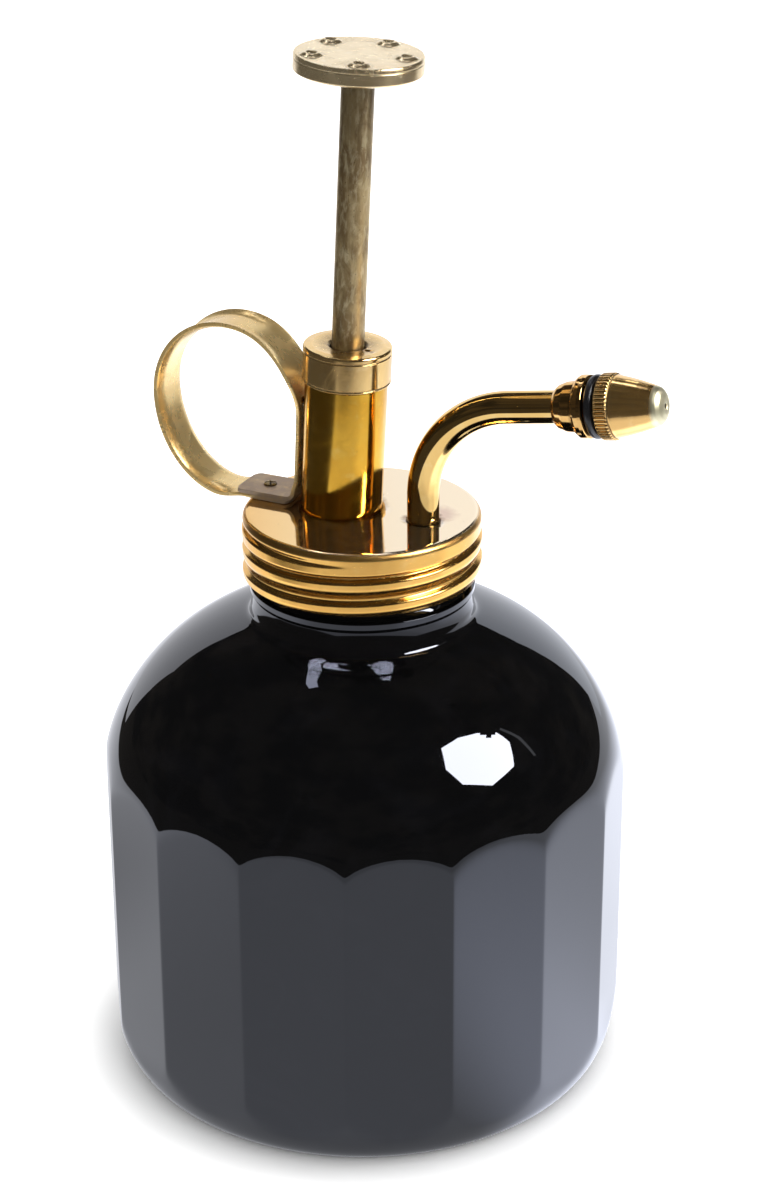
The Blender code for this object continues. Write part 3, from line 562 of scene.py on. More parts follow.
solder_mat = brass("solder", (0.72, 0.60, 0.36), (0.50, 0.38, 0.18), (0.85, 0.78, 0.60),
                   rough=0.14, patches=0.8, haze=0.2, lines="none", line_depth=0.003, seed=71.0)
oring_mat = rubber("black_rubber", (0.006, 0.006, 0.007), 0.22)
gasket_mat = rubber("gasket_rubber", (0.020, 0.020, 0.020), 0.60, own=False)
felt_mat = felt("packing_felt", own=False)
leather_mat = leather("cup_leather", own=False)
steel_mat = steel("steel", 0.16, own=False)
spring_mat = steel("spring_steel", 0.20)


# ================================================================ bottle
def bottle():
    body_r, facets, turn = 50.10, 16, math.radians(-0.5)
    dome_r, z0, height, power = 50.21, 53.14, 41.24, 2.256
    apothem = body_r * math.cos(PI / facets)

    def dome(z, r=dome_r, base=z0, h=height):
        t = np.clip((z - base) / h, 0.0, 0.99999)
        fuller = 0.35 * (1.0 - ease((z - 66.0) / 14.0))      # the shoulder just above the facets
        return (r + fuller) * (1.0 - t ** power) ** (1.0 / power)

    half = np.array([0.0, 0.010, 0.022, 0.036, 0.054, 0.078, 0.11, 0.17, 0.30, 0.50, 0.75])
    unit = np.concatenate([half - 1.0, [0.0], (1.0 - half[1:])[::-1]])      # -1 .. <1
    theta = np.concatenate([turn + (2 * k + 1 + unit) * PI / facets for k in range(facets)])
    cols = len(theta)
    k_index = np.floor((theta - turn) / (TAU / facets) + 1e-9)
    here = turn + (k_index + 0.5) * TAU / facets
    side = np.where(theta >= here, 1.0, -1.0)
    other = here + side * TAU / facets
    prism = soft_min(apothem / np.cos(theta - here), apothem / np.cos(theta - other), 0.055)

    rows = []                                    # (profile radius, height, how facetted)
    for r, z in ((6.0, 0.95), (16.0, 0.93), (27.0, 0.85), (35.0, 0.70), (39.0, 0.52),
                 (41.0, 0.34), (42.0, 0.16), (42.8, 0.04), (43.4, 0.0), (44.0, 0.0)):
        rows.append((r, z))
    blank = dome_r + 0.75
    for a in np.linspace(-88, 0, 44):
        a = math.radians(a)
        rows.append((50.3 - 5.5 + 5.5 * math.cos(a), 14.75 + 14.75 * math.sin(a)))
    rows.append((50.55, 16.4))
    for z in (19.0, 27.0, 35.0, 42.0, 47.0, 50.0, 52.0):
        rows.append((blank, z))
    for z in np.arange(53.3, 68.0, 0.36):
        rows.append((float(dome(z)), z))
    for z in np.arange(68.4, 90.9, 0.72):
        rows.append((float(dome(z)), z))
    # concave run into the neck: a smooth curve through these points
    through = [(float(dome(90.3)), 90.3), (float(dome(90.9)), 90.9), (22.45, 91.30), (21.83, 91.62),
               (21.42, 92.05), (21.17, 92.65), (21.00, 93.6), (20.75, 94.8), (20.62, 95.9)]
    for k in range(1, len(through) - 2):
        p0, p1, p2, p3 = (np.array(q) for q in through[k - 1:k + 3])
        for t in np.linspace(0, 1, 4)[:-1]:
            q = 0.5 * (2 * p1 + (p2 - p0) * t + (2 * p0 - 5 * p1 + 4 * p2 - p3) * t * t
                       + (3 * p1 - p0 - 3 * p2 + p3) * t ** 3)
            if q[1] > rows[-1][1] + 0.02:
                rows.append((float(q[0]), float(q[1])))
    # a low collar with a crisp upper edge, mostly hidden by the lid
    rows += fillet([(20.60, 95.6), (20.62, 96.35, 0.5), (21.08, 96.9, 0.45), (21.12, 98.1, 0.12),
                    (20.2, 98.35, 0.2), (19.8, 98.8)], steps=5)[1:-1]
    rows.append((19.75, 98.9))
    rows.append((19.62, 99.2))
    for z in np.arange(99.6, 108.8, 0.22):
        rows.append((19.60, z))
    for a in np.linspace(0, 90, 8):
        a = math.radians(a)
        rows.append((18.75 + 0.85 * math.cos(a), 108.85 + 0.85 * math.sin(a)))
    outer = len(rows)
    # inside, from the lip down
    for a in np.linspace(0, 90, 5):
        a = math.radians(a)
        rows.append((17.85 - 0.65 * math.sin(a), 109.05 + 0.65 * math.cos(a)))
    inner_r = apothem - 3.1
    for r, z in ((17.2, 106.0), (17.2, 99.0), (17.2, 95.0), (17.5, 93.0), (18.2, 91.4)):
        rows.append((r, z))
    for z in (88.5, 86.5, 84.0, 81.0, 77.0, 72.0, 66.0, 60.0, 54.0):
        rows.append((float(dome(z, inner_r, 51.14, 39.64)), z))
    for z in (50.0, 40.0, 28.0, 16.0, 10.0):
        rows.append((inner_r, z))
    for a in np.linspace(0, -90, 7)[1:]:
        a = math.radians(a)
        rows.append((inner_r - 4.5 + 4.5 * math.cos(a), 9.1 + 4.5 * math.sin(a)))
    rows += [(34.0, 4.65), (20.0, 4.7), (8.0, 4.75)]

    R = np.array([r for r, _ in rows])[:, None] * np.ones(cols)[None, :]
    Z = np.array([z for _, z in rows])[:, None] * np.ones(cols)[None, :]
    # facets are cut into everything wide enough on the outside
    out = np.zeros_like(R, bool)
    out[:outer] = True
    P = np.ones((len(rows), 1)) * prism[None, :]
    K = np.where(Z < 30.0, 0.10, 0.16)
    fade = ease((R - 44.6) / 2.0)
    R = np.where(out & (R > 44.6), R + (soft_min(R, P, K) - R) * fade, R)
    # thread on the neck
    T = theta[None, :] * np.ones((len(rows), 1))
    for extra in range(3):
        turns = ((T - 0.6) / TAU) % 1.0 + extra
        centre = 102.0 + 4.23 * turns
        run = ease(np.clip(turns / 0.10, 0, 1)) * ease(np.clip((1.25 - turns) / 0.10, 0, 1))
        shape = np.clip(1.0 - ((Z - centre) / 1.05) ** 2, 0, 1) ** 1.3
        R = R + np.where(out & (Z > 99.0) & (turns <= 1.25), 1.18 * run * shape, 0.0)
    pts = np.stack([R * np.cos(T), R * np.sin(T), Z], -1).reshape(-1, 3)
    faces = grid_faces(len(rows), cols)
    pts = np.vstack([pts, [[0, 0, 0.95], [0, 0, 4.75]]])
    a, b = len(rows) * cols, len(rows) * cols + 1
    for j in range(cols):
        j2 = (j + 1) % cols
        faces.append((a, j2, j))
        faces.append((b, (len(rows) - 1) * cols + j, (len(rows) - 1) * cols + j2))
    return build("bottle_glass", pts, faces, glass_mat, "bottle_body", ("bottle",))


bottle()


# ================================================================ lid
def lid():
    pitch, front = 4.23, math.radians(-63.0)
    band_r, crest_r, depth_in = 22.20, 22.38, 0.86

    def valley(turns):
        t = np.asarray(turns, float)
        return 4.9 - pitch * (1 - t) + np.where(t < 1, 1.6 * np.clip(1 - t, 0, 1) ** 3, 0.0)

    def amplitude(turns):
        return ease((np.asarray(turns, float) - 0.01) / 0.20)

    def radius(T, D):
        """Outside radius at an angle and a depth under the top face."""
        base = ((front - T) / TAU) % 1.0
        r = np.full_like(T, band_r)
        d0, a0 = valley(base), amplitude(base)
        fall = ease((D - (d0 - 0.95)) / 0.95)
        r = np.where(D <= d0, band_r - depth_in * a0 * fall, r)
        for k in range(0, 4):
            t0, t1 = base + k, base + k + 1
            v0, v1 = valley(t0), valley(t1)
            p = (D - v0) / (v1 - v0)
            rise = ease(p / 0.17)
            wide = 0.95 + 1.59 * ease((t1 - 1.0) / 0.6)
            drop = ease((D - (v1 - wide)) / wide)
            crest = crest_r - (crest_r - band_r) * (1 - amplitude(t0))
            shape = crest - depth_in * (amplitude(t0) * (1 - rise) + amplitude(t1) * drop)
            r = np.where((D > v0) & (D <= v1), shape, r)
        return r

    cols = 320
    theta = np.arange(cols) * TAU / cols
    rows = []                                     # (kind, radius or None, depth)
    for r in (3.0, 6.0, 9.0, 12.0, 15.0, 17.5, 19.5, 20.4, 20.7, 20.85):
        rows.append((r, 0.0))
    rim = 1.25
    for a in np.linspace(0, 90, 13):
        a = math.radians(a)
        rows.append((band_r - rim + rim * math.sin(a), rim - rim * math.cos(a)))
    smooth_to = len(rows)
    depths = np.concatenate([np.arange(1.36, 11.72, 0.105), [11.75]])
    for d in depths:
        rows.append((None, d))
    T = np.ones((len(rows), 1)) * theta[None, :]
    D = np.array([d for _, d in rows])[:, None] * np.ones(cols)[None, :]
    R = np.array([r if r is not None else 0.0 for r, _ in rows])[:, None] * np.ones(cols)[None, :]
    outside = np.array([r is None for r, _ in rows])[:, None] & np.ones((1, cols), bool)
    # soften the profile a little by averaging over depth
    soft = sum(radius(T, D + e) for e in (-0.14, -0.07, 0.0, 0.07, 0.14)) / 5
    R = np.where(outside, soft, R)
    # the rim runs into the band even where a groove starts
    outer_pts = np.stack([R * np.cos(T), R * np.sin(T), LID_TOP - D], -1)
    # hem: a small roll at the bottom edge, then up the inside
    last = R[-1]
    hem = []
    for a in np.linspace(15, 180, 9):
        a = math.radians(a)
        hem.append((last - 0.27 + 0.27 * math.cos(a), np.full(cols, 11.73 + 0.27 * math.sin(a))))
    inner = []
    for d in np.arange(11.5, 1.9, -0.16):
        inner.append((np.minimum(radius(theta, np.full(cols, d)), 22.3) - 0.55, np.full(cols, d)))
    ceiling = []
    for a in np.linspace(0, 90, 6):
        a = math.radians(a)
        ceiling.append((21.6 - 0.8 + 0.8 * math.cos(a), np.full(cols, 1.70 - 0.8 * math.sin(a))))
    for r in (20.0, 17.0, 12.0, 7.0, 3.0):
        ceiling.append((np.full(cols, r), np.full(cols, 0.90)))
    rest = hem + inner + ceiling
    R2 = np.array([np.broadcast_to(r, cols) for r, _ in rest])
    D2 = np.array([d for _, d in rest])
    T2 = np.ones((len(rest), 1)) * theta[None, :]
    more = np.stack([R2 * np.cos(T2), R2 * np.sin(T2), LID_TOP - D2], -1)
    grid = np.vstack([outer_pts, more])
    n_rows = len(grid)
    pts = grid.reshape(-1, 3)
    faces = grid_faces(n_rows, cols)
    pts = np.vstack([pts, [[0, 0, LID_TOP], [0, 0, LID_TOP - 0.90]]])
    a, b = n_rows * cols, n_rows * cols + 1
    for j in range(cols):
        j2 = (j + 1) % cols
        faces.append((a, j2, j))
        faces.append((b, (n_rows - 1) * cols + j, (n_rows - 1) * cols + j2))
    # dirt in the grooves and along the rim's foot
    radius_all = np.hypot(pts[:, 0], pts[:, 1])
    depth_all = LID_TOP - pts[:, 2]
    dirt = np.where((depth_all > 1.6) & (radius_all < 21.66), (21.66 - radius_all) * 1.7, 0.0)
    return build("screw_lid", pts, faces, lid_mat, "head", ("lid",),
                 grime=np.clip(dirt, 0, 0.62))


lid_obj = lid()


def drill(obj, holes):
    """Cuts round holes: (x, y, radius, frame) through the lid's top."""
    cutters = []
    for x, y, r, at in holes:
        a = np.arange(96) * TAU / 96
        ring = [np.stack([x + r * np.cos(a), y + r * np.sin(a), np.full(96, h)], -1) for h in (-4.0, 4.0)]
        pts = np.vstack(ring)
        pts = (pts @ at[:3, :3].T + at[:3, 3]) * MM
        mesh = bpy.data.meshes.new("cutter")
        faces = [(j, (j + 1) % 96, 96 + (j + 1) % 96, 96 + j) for j in range(96)]
        faces += [tuple(range(95, -1, -1)), tuple(range(96, 192))]
        mesh.from_pydata(pts.tolist(), [], faces)
        cutter = bpy.data.objects.new("cutter", mesh)
        bpy.context.scene.collection.objects.link(cutter)
        cutters.append(cutter)
        mod = obj.modifiers.new("hole", "BOOLEAN")
        mod.operation = "DIFFERENCE"
        mod.solver = "EXACT"
        mod.object = cutter
    bpy.context.view_layer.update()
    deps = bpy.context.evaluated_depsgraph_get()
    mesh = bpy.data.meshes.new_from_object(obj.evaluated_get(deps), preserve_all_data_layers=True,
                                           depsgraph=deps)
    obj.modifiers.clear()
    obj.data = mesh
    for cutter in cutters:
        bpy.data.objects.remove(cutter, do_unlink=True)


top_frame = WORLD.copy()
top_frame[2, 3] = LID_TOP
drill(lid_obj, [(0.0, 0.0, 7.68, PUMP), (12.5, 0.0, 3.08, top_frame), (-19.1, 0.0, 1.1, top_frame)])


# ================================================================ pump barrel and cap
lathe("barrel_tube", [(6.80, 24.9, 0.15), (7.60, 24.9, 0.15), (7.60, 1.0), (7.60, -12.0), (7.60, -45.6, 0.3),
                      (6.80, -45.6, 0.1)], barrel_mat, "head", ("pump_barrel",),
      at=PUMP, closed=True, cols=160,
      grime=lambda r, z: np.where(r > 7.2, 0.8 * near(z, 0.0, 0.8) + 0.25 * near(z, 24.8, 0.5), 0))

cap_profile = [
    (3.25, 31.30, 0.12), (3.75, 31.72, 0.2), (6.6, 31.88, 0.8), (8.13, 31.72, 0.42), (8.13, 30.86, 0.05),
    (7.98, 30.74, 0.06), (7.98, 30.60, 0.06), (8.13, 30.48, 0.05), (8.13, 25.62, 0.05),
    (8.02, 25.50, 0.05), (8.02, 25.36, 0.05), (8.15, 25.26, 0.05), (8.15, 25.10, 0.06),
    (7.70, 25.02, 0.05), (6.5, 25.02, 0.1), (6.5, 22.3, 0.2), (5.2, 22.3, 0.1), (5.2, 28.5, 0.2),
    (3.25, 28.5, 0.1)]
cap_obj = lathe("gland_cap", cap_profile, cap_mat, "head", ("barrel_cap",), at=PUMP,
                closed=True, cols=192,
                grime=lambda r, z: np.maximum(np.where(z > 31.0, 0.95 * near(r, 3.2, 1.3), 0),
                                              np.where(r > 7.5, 0.75 * np.maximum(near(z, 30.67, 0.12),
                                                                                  near(z, 25.43, 0.12)), 0)))
cap_frame = PUMP.copy()
cap_frame[:3, 3] = PUMP[:3, 3] + PUMP[:3, 2] * 31.0
drill(cap_obj, [(4.6, -1.2, 0.55, cap_frame)])

# ================================================================ plunger
lathe("plunger_shaft", [(0, 84.2), (2.3, 84.2, 0.1), (2.3, 81.75, 0.1), (2.98, 81.70, 0.1), (2.98, 60.0),
                        (2.98, 40.0), (2.98, 22.0, 0.2), (2.0, 21.9, 0.1), (2.0, 10.2, 0.3), (0, 10.0)],
      rod_mat, "plunger", ("plunger_rod",), at=PUMP, cols=96,
      grime=lambda r, z: 0.55 * near(z, 81.6, 1.2) + 0.35 * near(z, 33.0, 1.5))


def button():
    r_out, top, thick = 11.50, 85.30, 3.30
    angles = [math.radians(-64.5 + 72.0 * i) for i in range(5)]
    spots = [(0.75 * r_out * math.cos(a), 0.75 * r_out * math.sin(a)) for a in angles]
    cols = 420
    rr = np.concatenate([np.arange(0.6, 5.4, 0.6), np.arange(5.6, 10.9, 0.115), [10.95, 11.0]])
    rows = [(float(r), top, True) for r in rr]
    prof = fillet([(11.0, top), (11.36, top - 0.02, 0.25), (11.5, top - 0.50, 0.3), (11.5, top - 0.80, 0.1),
                   (11.42, top - 0.88, 0.03), (11.42, top - 0.98, 0.03), (11.5, top - 1.06, 0.1),
                   (11.5, top - thick + 0.3, 0.28), (11.0, top - thick, 0.3), (4.6, top - thick, 0.4),
                   (4.25, top - thick - 0.55, 0.2), (3.9, top - thick - 0.62, 0.15),
                   (3.02, top - thick - 0.62, 0.05), (3.02, top - thick + 0.1, 0.05),
                   (2.32, top - thick + 0.1, 0.05), (2.32, top - 0.7, 0.05), (0.0, top - 0.7)], steps=5)
    rows += [(r, z, False) for r, z in prof[1:-1]]
    theta = np.arange(cols) * TAU / cols
    R = np.array([r for r, _, _ in rows])[:, None] * np.ones(cols)
    Z = np.array([z for _, z, _ in rows])[:, None] * np.ones(cols)
    T = np.ones((len(rows), 1)) * theta[None, :]
    X, Y = R * np.cos(T), R * np.sin(T)
    is_top = np.array([t for _, _, t in rows])[:, None] & np.ones((1, cols), bool)
    lift = np.zeros_like(X)
    dirt = np.zeros_like(X)
    for sx, sy in spots:
        d = np.hypot(X - sx, Y - sy)
        # a raised lip round a punched crater
        cone = np.where(d < 1.15, 0.50 * ease((d - 0.35) / 0.80), 0.50 * (1 - ease((d - 1.15) / 1.15)))
        cone = np.where(d < 0.45, -0.18 * (1 - ease(d / 0.45)), cone)
        lift = lift + cone
        dirt = np.maximum(dirt, 0.35 * near(d, 0.0, 0.5) + 0.15 * near(d, 2.35, 0.35))
    Z = Z + np.where(is_top, lift, 0.0)
    dirt = np.where(is_top, dirt, 0.45 * near(Z, top - 0.93, 0.1) + 0.5 * near(R, 4.2, 0.8))
    pts = np.stack([X, Y, Z], -1).reshape(-1, 3)
    faces = grid_faces(len(rows), cols)
    pts = np.vstack([pts, [[0, 0, top], [0, 0, top - 0.7]]])
    a, b = len(rows) * cols, len(rows) * cols + 1
    for j in range(cols):
        j2 = (j + 1) % cols
        faces.append((a, j2, j))
        faces.append((b, (len(rows) - 1) * cols + j, (len(rows) - 1) * cols + j2))
    return build("thumb_disc", pts, faces, button_mat, "plunger", ("thumb_button",),
                 at=PUMP, grime=np.clip(np.append(dirt.ravel(), [0, 0]), 0, 1))


button()


# ================================================================ spout tube
def sweep(name, path, radius, mat, body, replaces=(), slot=None, cols=64, inner=None, grime=None):
    """A round tube along a path in the X-Z plane, open-bored when inner is given."""
    path = np.asarray(path, float)
    tangent = np.gradient(path, axis=0)
    tangent /= np.linalg.norm(tangent, axis=1)[:, None]
    side = np.array([0.0, 1.0, 0.0])
    normal = np.cross(tangent, side)
    run = np.concatenate([[0], np.cumsum(np.linalg.norm(np.diff(path, axis=0), axis=1))])
    angle = np.arange(cols) * TAU / cols
    rings, locs = [], []

    def ring(i, r, shift=0.0):
        c = path[i] + tangent[i] * shift
        rings.append(c + r * (np.cos(angle)[:, None] * normal[i] + np.sin(angle)[:, None] * side))
        locs.append(np.stack([np.full(cols, run[i]), r * np.cos(angle), r * np.sin(angle)], -1))

    last = len(path) - 1
    for a in (60, 30):
        a = math.radians(a)
        ring(0, radius - 0.2 + 0.2 * math.cos(a), 0.2 - 0.2 * math.sin(a))
    for i in range(len(path)):
        ring(i, radius, 0.2 if i == 0 else (-0.2 if i == last else 0.0))
    for a in (30, 60):
        a = math.radians(a)
        ring(last, radius - 0.2 + 0.2 * math.cos(a), -0.2 + 0.2 * math.sin(a))
    ring(last, radius - 0.2)
    ring(last, inner + 0.05)
    for i in range(last, -1, -1):
        ring(i, inner, -0.05 if i == last else (0.05 if i == 0 else 0.0))
    ring(0, inner + 0.05)
    ring(0, radius - 0.2)
    pts = np.vstack(rings)
    loc = np.vstack(locs)
    dirt = None if grime is None else np.clip(grime(pts), 0, 1)
    return build(name, pts, grid_faces(len(rings), cols, wrap_rows=True), mat, body, replaces,
                 loc=loc, grime=dirt)


def spout_path():
    x0, rise = 12.5, 5.0
    end = np.array([38.5, 138.27])
    along = np.array([math.cos(TILT), math.sin(TILT)])
    bend = PI / 2 - TILT
    corner = end[1] - (end[0] - x0) / along[0] * along[1]
    back = corner - (LID_TOP + rise)
    radius = back / math.tan(bend / 2)
    foot = LID_TOP - 49.3 * math.cos(LEAN) + 8.4
    pts = [(x0, 0.0, z) for z in np.linspace(foot, LID_TOP - 1, 12)]
    pts += [(x0, 0.0, LID_TOP + t) for t in (0.0, 0.6, 1.5, 3.0, 4.6)]
    for a in np.linspace(0, bend, 80):
        pts.append((x0 + radius - radius * math.cos(a), 0.0, LID_TOP + rise + radius * math.sin(a)))
    start = np.array([pts[-1][0], pts[-1][2]])
    stop = end + along * 5.0
    for t in np.linspace(0, 1, 16)[1:]:
        q = start + (stop - start) * t
        pts.append((q[0], 0.0, q[1]))
    return pts


sweep("spout_pipe", spout_path(), 3.0, spout_mat, "head", ("spout_tube",), "spout_brass", inner=2.0,
      grime=lambda p: 0.9 * near(p[:, 2], LID_TOP, 0.55))

# ================================================================ nozzle
lathe("nozzle_collar", [
    (2.2, 12.3, 0.1), (3.4, 12.3, 0.2), (3.4, 9.0), (3.4, 6.95, 0.05), (5.15, 6.72, 0.15), (5.62, 6.55, 0.2),
    (5.70, 5.85, 0.3), (5.70, 5.1, 0.15), (5.45, 4.62, 0.2), (5.0, 4.45, 0.1), (4.72, 4.30, 0.05),
    (4.66, 3.7, 0.4), (4.52, 2.2, 1.5), (4.05, 0.8, 1.2), (3.5, 0.12, 0.3), (3.06, 0.05, 0.05), (3.06, 5.3, 0.1),
    (1.2, 5.3, 0.1), (1.2, 9.0, 0.1), (1.9, 9.0, 0.1)], nozzle_mat, "head", ("nozzle_body",),
    at=NOZZLE, closed=True, cols=144,
    grime=lambda r, z: np.where(r > 3.3, 0.7 * near(z, 4.38, 0.25) + 0.4 * near(z, 0.1, 0.4)
                                + 0.5 * near(z, 6.8, 0.25), 0))

lathe("nozzle_seal_ring", [(4.9 + 0.82 * math.cos(a), 7.75 + 0.82 * math.sin(a))
                           for a in np.arange(20) * TAU / 20], oring_mat, "nozzle_seal",
      ("nozzle_oring",), at=NOZZLE, closed=True, cols=128, raw=True)


def nozzle_cap():
    teeth = 48
    profile = [
        (0.45, 20.28, 0.05), (0.75, 20.47, 0.1), (1.5, 20.46, 0.5), (2.5, 20.15, 0.8), (3.22, 19.62, 0.35),
        (3.50, 19.12, 0.25), (3.90, 18.05, 2.0), (4.55, 16.0, 4.0), (5.08, 14.0, 4.0), (5.48, 12.2, 1.5),
        (5.60, 11.75, 0.2), (5.56, 11.50, 0.05), (5.80, 11.38, 0.05),
        (5.95, 11.22, 0.08), (5.95, 10.6), (5.95, 9.9), (5.95, 9.5), (5.95, 9.20, 0.10), (5.62, 8.92, 0.1), (3.75, 8.92, 0.1),
        (3.75, 14.0, 0.2), (2.2, 18.0, 0.2), (0.45, 18.9, 0.1)]

    def knurl(T, R, Z):
        band = near(Z, 10.2, 1.36) ** 0.35
        outside = (R > 5.60) & (Z < 11.45) & (Z > 8.95)
        wave = 0.5 - 0.5 * np.cos(T * teeth)
        return np.where(outside, R - 0.42 * band * (1 - np.clip(wave * 1.5, 0, 1)), R), Z

    return lathe("spray_tip", profile, tip_mat, "nozzle_tip", ("nozzle_cap",),
                 at=NOZZLE, closed=True, cols=48 * 14, shape=knurl,
                 grime=lambda r, z: np.maximum(
                     np.where((z < 11.4) & (z > 8.9), np.clip((5.82 - r) * 2.2, 0, 0.75) * (r > 5.2), 0),
                     0.8 * near(z, 11.50, 0.15) * (r > 5.3) + 0.9 * near(r, 0.45, 0.35) * (z > 19)))


nozzle_cap()


# ================================================================ finger ring
def lean_point(x, s):
    return np.array([-4.2 + x * math.cos(LEAN) + s * math.sin(LEAN),
                     LID_TOP - x * math.sin(LEAN) + s * math.cos(LEAN)])


def dense(points, step=0.35):
    pts = [np.array(points[0], float)]
    for a, b in zip(points, points[1:]):
        a, b = np.array(a, float), np.array(b, float)
        n = max(1, int(round(np.linalg.norm(b - a) / step)))
        pts += [a + (b - a) * i / n for i in range(1, n + 1)]
    return np.array(pts)


def strap():
    thick, width = 0.76, 8.80
    clear = 0.14                                   # between the leg and the barrel
    tab = LID_TOP + 0.07 + thick / 2
    foot = tab + thick + 0.03
    leg_x = -(7.60 + clear + thick / 2)
    low_leg = lean_point(leg_x, 2.9)
    bend = 1.3
    ring_x, ring_z, ring_a, up = -26.0, LID_TOP + 18.3, 14.45, 14.80
    inset = 0.42                                   # room for the flared edges
    pts = [(-24.2, foot), (low_leg[0] - bend - 1.0, foot)]
    for a in np.linspace(0, 90, 9):
        a = math.radians(a)
        pts.append((low_leg[0] - bend + bend * math.sin(a), foot + bend - bend * math.cos(a)))
    for s in (6.0, 10.0, 14.0):
        pts.append(tuple(lean_point(leg_x, s)))
    joint = lean_point(leg_x, 18.0)
    right_a = joint[0] - ring_x
    for a in np.linspace(4, 90, 44):
        a = math.radians(a)
        k = inset * ease((math.degrees(a) - 10) / 50)
        pts.append((ring_x + (right_a - k) * math.cos(a), ring_z + (up - k) * math.sin(a)))
    for a in np.linspace(90, 180, 46)[1:]:
        a = math.radians(a)
        pts.append((ring_x + (ring_a - inset) * math.cos(a), ring_z + (up - inset) * math.sin(a)))
    down = ring_z - tab
    for a in np.linspace(180, 270, 46)[1:]:
        a = math.radians(a)
        k = inset * (1 - ease((math.degrees(a) - 225) / 45))
        pts.append((ring_x + (ring_a - k) * math.cos(a), ring_z + (down - k * 0.4) * math.sin(a)))
    pts += [(-20.0, tab), (-13.2, tab)]
    path = dense(pts, 0.40)
    # smooth the run lightly so that the joins between arcs are tangent
    for _ in range(6):
        path[1:-1] = 0.25 * path[:-2] + 0.5 * path[1:-1] + 0.25 * path[2:]
    run = np.concatenate([[0], np.cumsum(np.linalg.norm(np.diff(path, axis=0), axis=1))])
    tangent = np.gradient(path, axis=0)
    tangent /= np.linalg.norm(tangent, axis=1)[:, None]
    normal = np.stack([tangent[:, 1], -tangent[:, 0]], -1)          # away from the loop's middle
    flip = np.sign(((path - np.array([ring_x, ring_z])) * normal).sum(1))
    count = len(path)
    # where the strap is flared: the loop only
    x, z = path[:, 0], path[:, 1]
    height = (z - tab) / 30.0
    in_loop = np.zeros(count)
    loop_start = int(np.argmax(run > run[np.argmax(z)] - 16.0))
    for i in range(count):
        if i >= loop_start:
            in_loop[i] = ease((run[i] - run[loop_start]) / 12.0) * ease((run[-1] - run[i] - 9.5) / 6.0)
    # half width: rounded ends, a slight waist where the loop meets the tab
    half = np.full(count, width / 2)
    corner = 1.5
    leg_top = int(np.argmax(z))
    for i in range(count):
        if i < leg_top and x[i] > -15.0:
            up_leg = z[i] - LID_TOP
            half[i] -= 1.45 * ease((up_leg - 2.4) / 2.5) * (1 - ease((up_leg - 17.0) / 9.0))
        for from_end in (run[i], run[-1] - run[i]):
            if from_end < corner:
                half[i] = min(half[i], width / 2 - corner + math.sqrt(max(0.0, corner ** 2 - (corner - from_end) ** 2)))
        half[i] -= 0.35 * near(np.array(run[-1] - run[i]), 9.5, 3.0)
    # across: a flat middle and edges that curl outwards
    v = np.sin(np.linspace(-1, 1, 33) * PI / 2)
    curl = np.clip((np.abs(v) - 0.52) / 0.48, 0, 1) ** 1.8
    m = len(v)
    edge_n = 6
    rings, locs = [], []
    for i in range(count):
        out = normal[i] * (1.0 if flip[i] > 0 else -1.0) if in_loop[i] > 0 else normal[i]
        n3 = np.array([normal[i][0], 0.0, normal[i][1]])
        o3 = n3 * (1.0 if flip[i] > 0 else -1.0)
        base = np.array([x[i], 0.0, z[i]])
        offset = in_loop[i] * (0.78 * curl - 0.02)
        y = v * half[i]
        mid = base + np.outer(y, [0, 1, 0]) + np.outer(offset, o3)
        # normal across the strip
        dy = np.gradient(y)
        do = np.gradient(offset)
        length = np.hypot(dy, do)
        across = (np.outer(dy / length, [0, 1, 0]) + np.outer(do / length, o3))
        up3 = np.outer(dy / length, o3) - np.outer(do / length, [0, 1, 0])
        t2 = thick / 2 * (1.0 - 0.10 * curl * in_loop[i])
        upper = mid + up3 * np.expand_dims(np.broadcast_to(t2, m), 1)
        lower = mid - up3 * np.expand_dims(np.broadcast_to(t2, m), 1)
        ring = list(upper)
        loc = [(run[i], yy, thick / 2) for yy in y]
        tt = np.broadcast_to(t2, m)
        for k in range(1, edge_n):
            a = PI / 2 - PI * k / edge_n
            ring.append(mid[-1] + across[-1] * 0.28 * math.cos(a) + up3[-1] * tt[-1] * math.sin(a))
            loc.append((run[i], y[-1], 0.0))
        ring += list(lower[::-1])
        loc += [(run[i], yy, -thick / 2) for yy in y[::-1]]
        for k in range(1, edge_n):
            a = -PI / 2 + PI * k / edge_n
            ring.append(mid[0] - across[0] * 0.28 * math.cos(a) + up3[0] * tt[0] * math.sin(a))
            loc.append((run[i], y[0], 0.0))
        rings.append(ring)
        locs.append(loc)
    cols = len(rings[0])
    pts = np.array(rings).reshape(-1, 3)
    loc = np.array(locs).reshape(-1, 3)
    pts[:, 1] = np.clip(pts[:, 1], -width / 2, width / 2)
    faces = grid_faces(count, cols)
    # end faces, fanned from a middle point
    for i in (0, count - 1):
        centre = len(pts)
        pts = np.vstack([pts, pts[i * cols:(i + 1) * cols].mean(0)[None, :]])
        loc = np.vstack([loc, loc[i * cols:(i + 1) * cols].mean(0)[None, :]])
        for j in range(cols):
            j2 = (j + 1) % cols
            a, b = i * cols + j, i * cols + j2
            faces.append((centre, b, a) if i == 0 else (centre, a, b))
    # the foot and the tab are dulled by the soldering heat
    s = loc[:, 0]
    dull = np.maximum(1 - ease((s - 11.2) / 2.5), 0) * 0.9
    dull = np.maximum(dull, 0.8 * ease((s - (run[-1] - 9.0)) / 3.0))
    return build("finger_loop", pts, faces, strap_mat, "head", ("finger_ring",),
                 loc=loc, grime=dull)


strap()


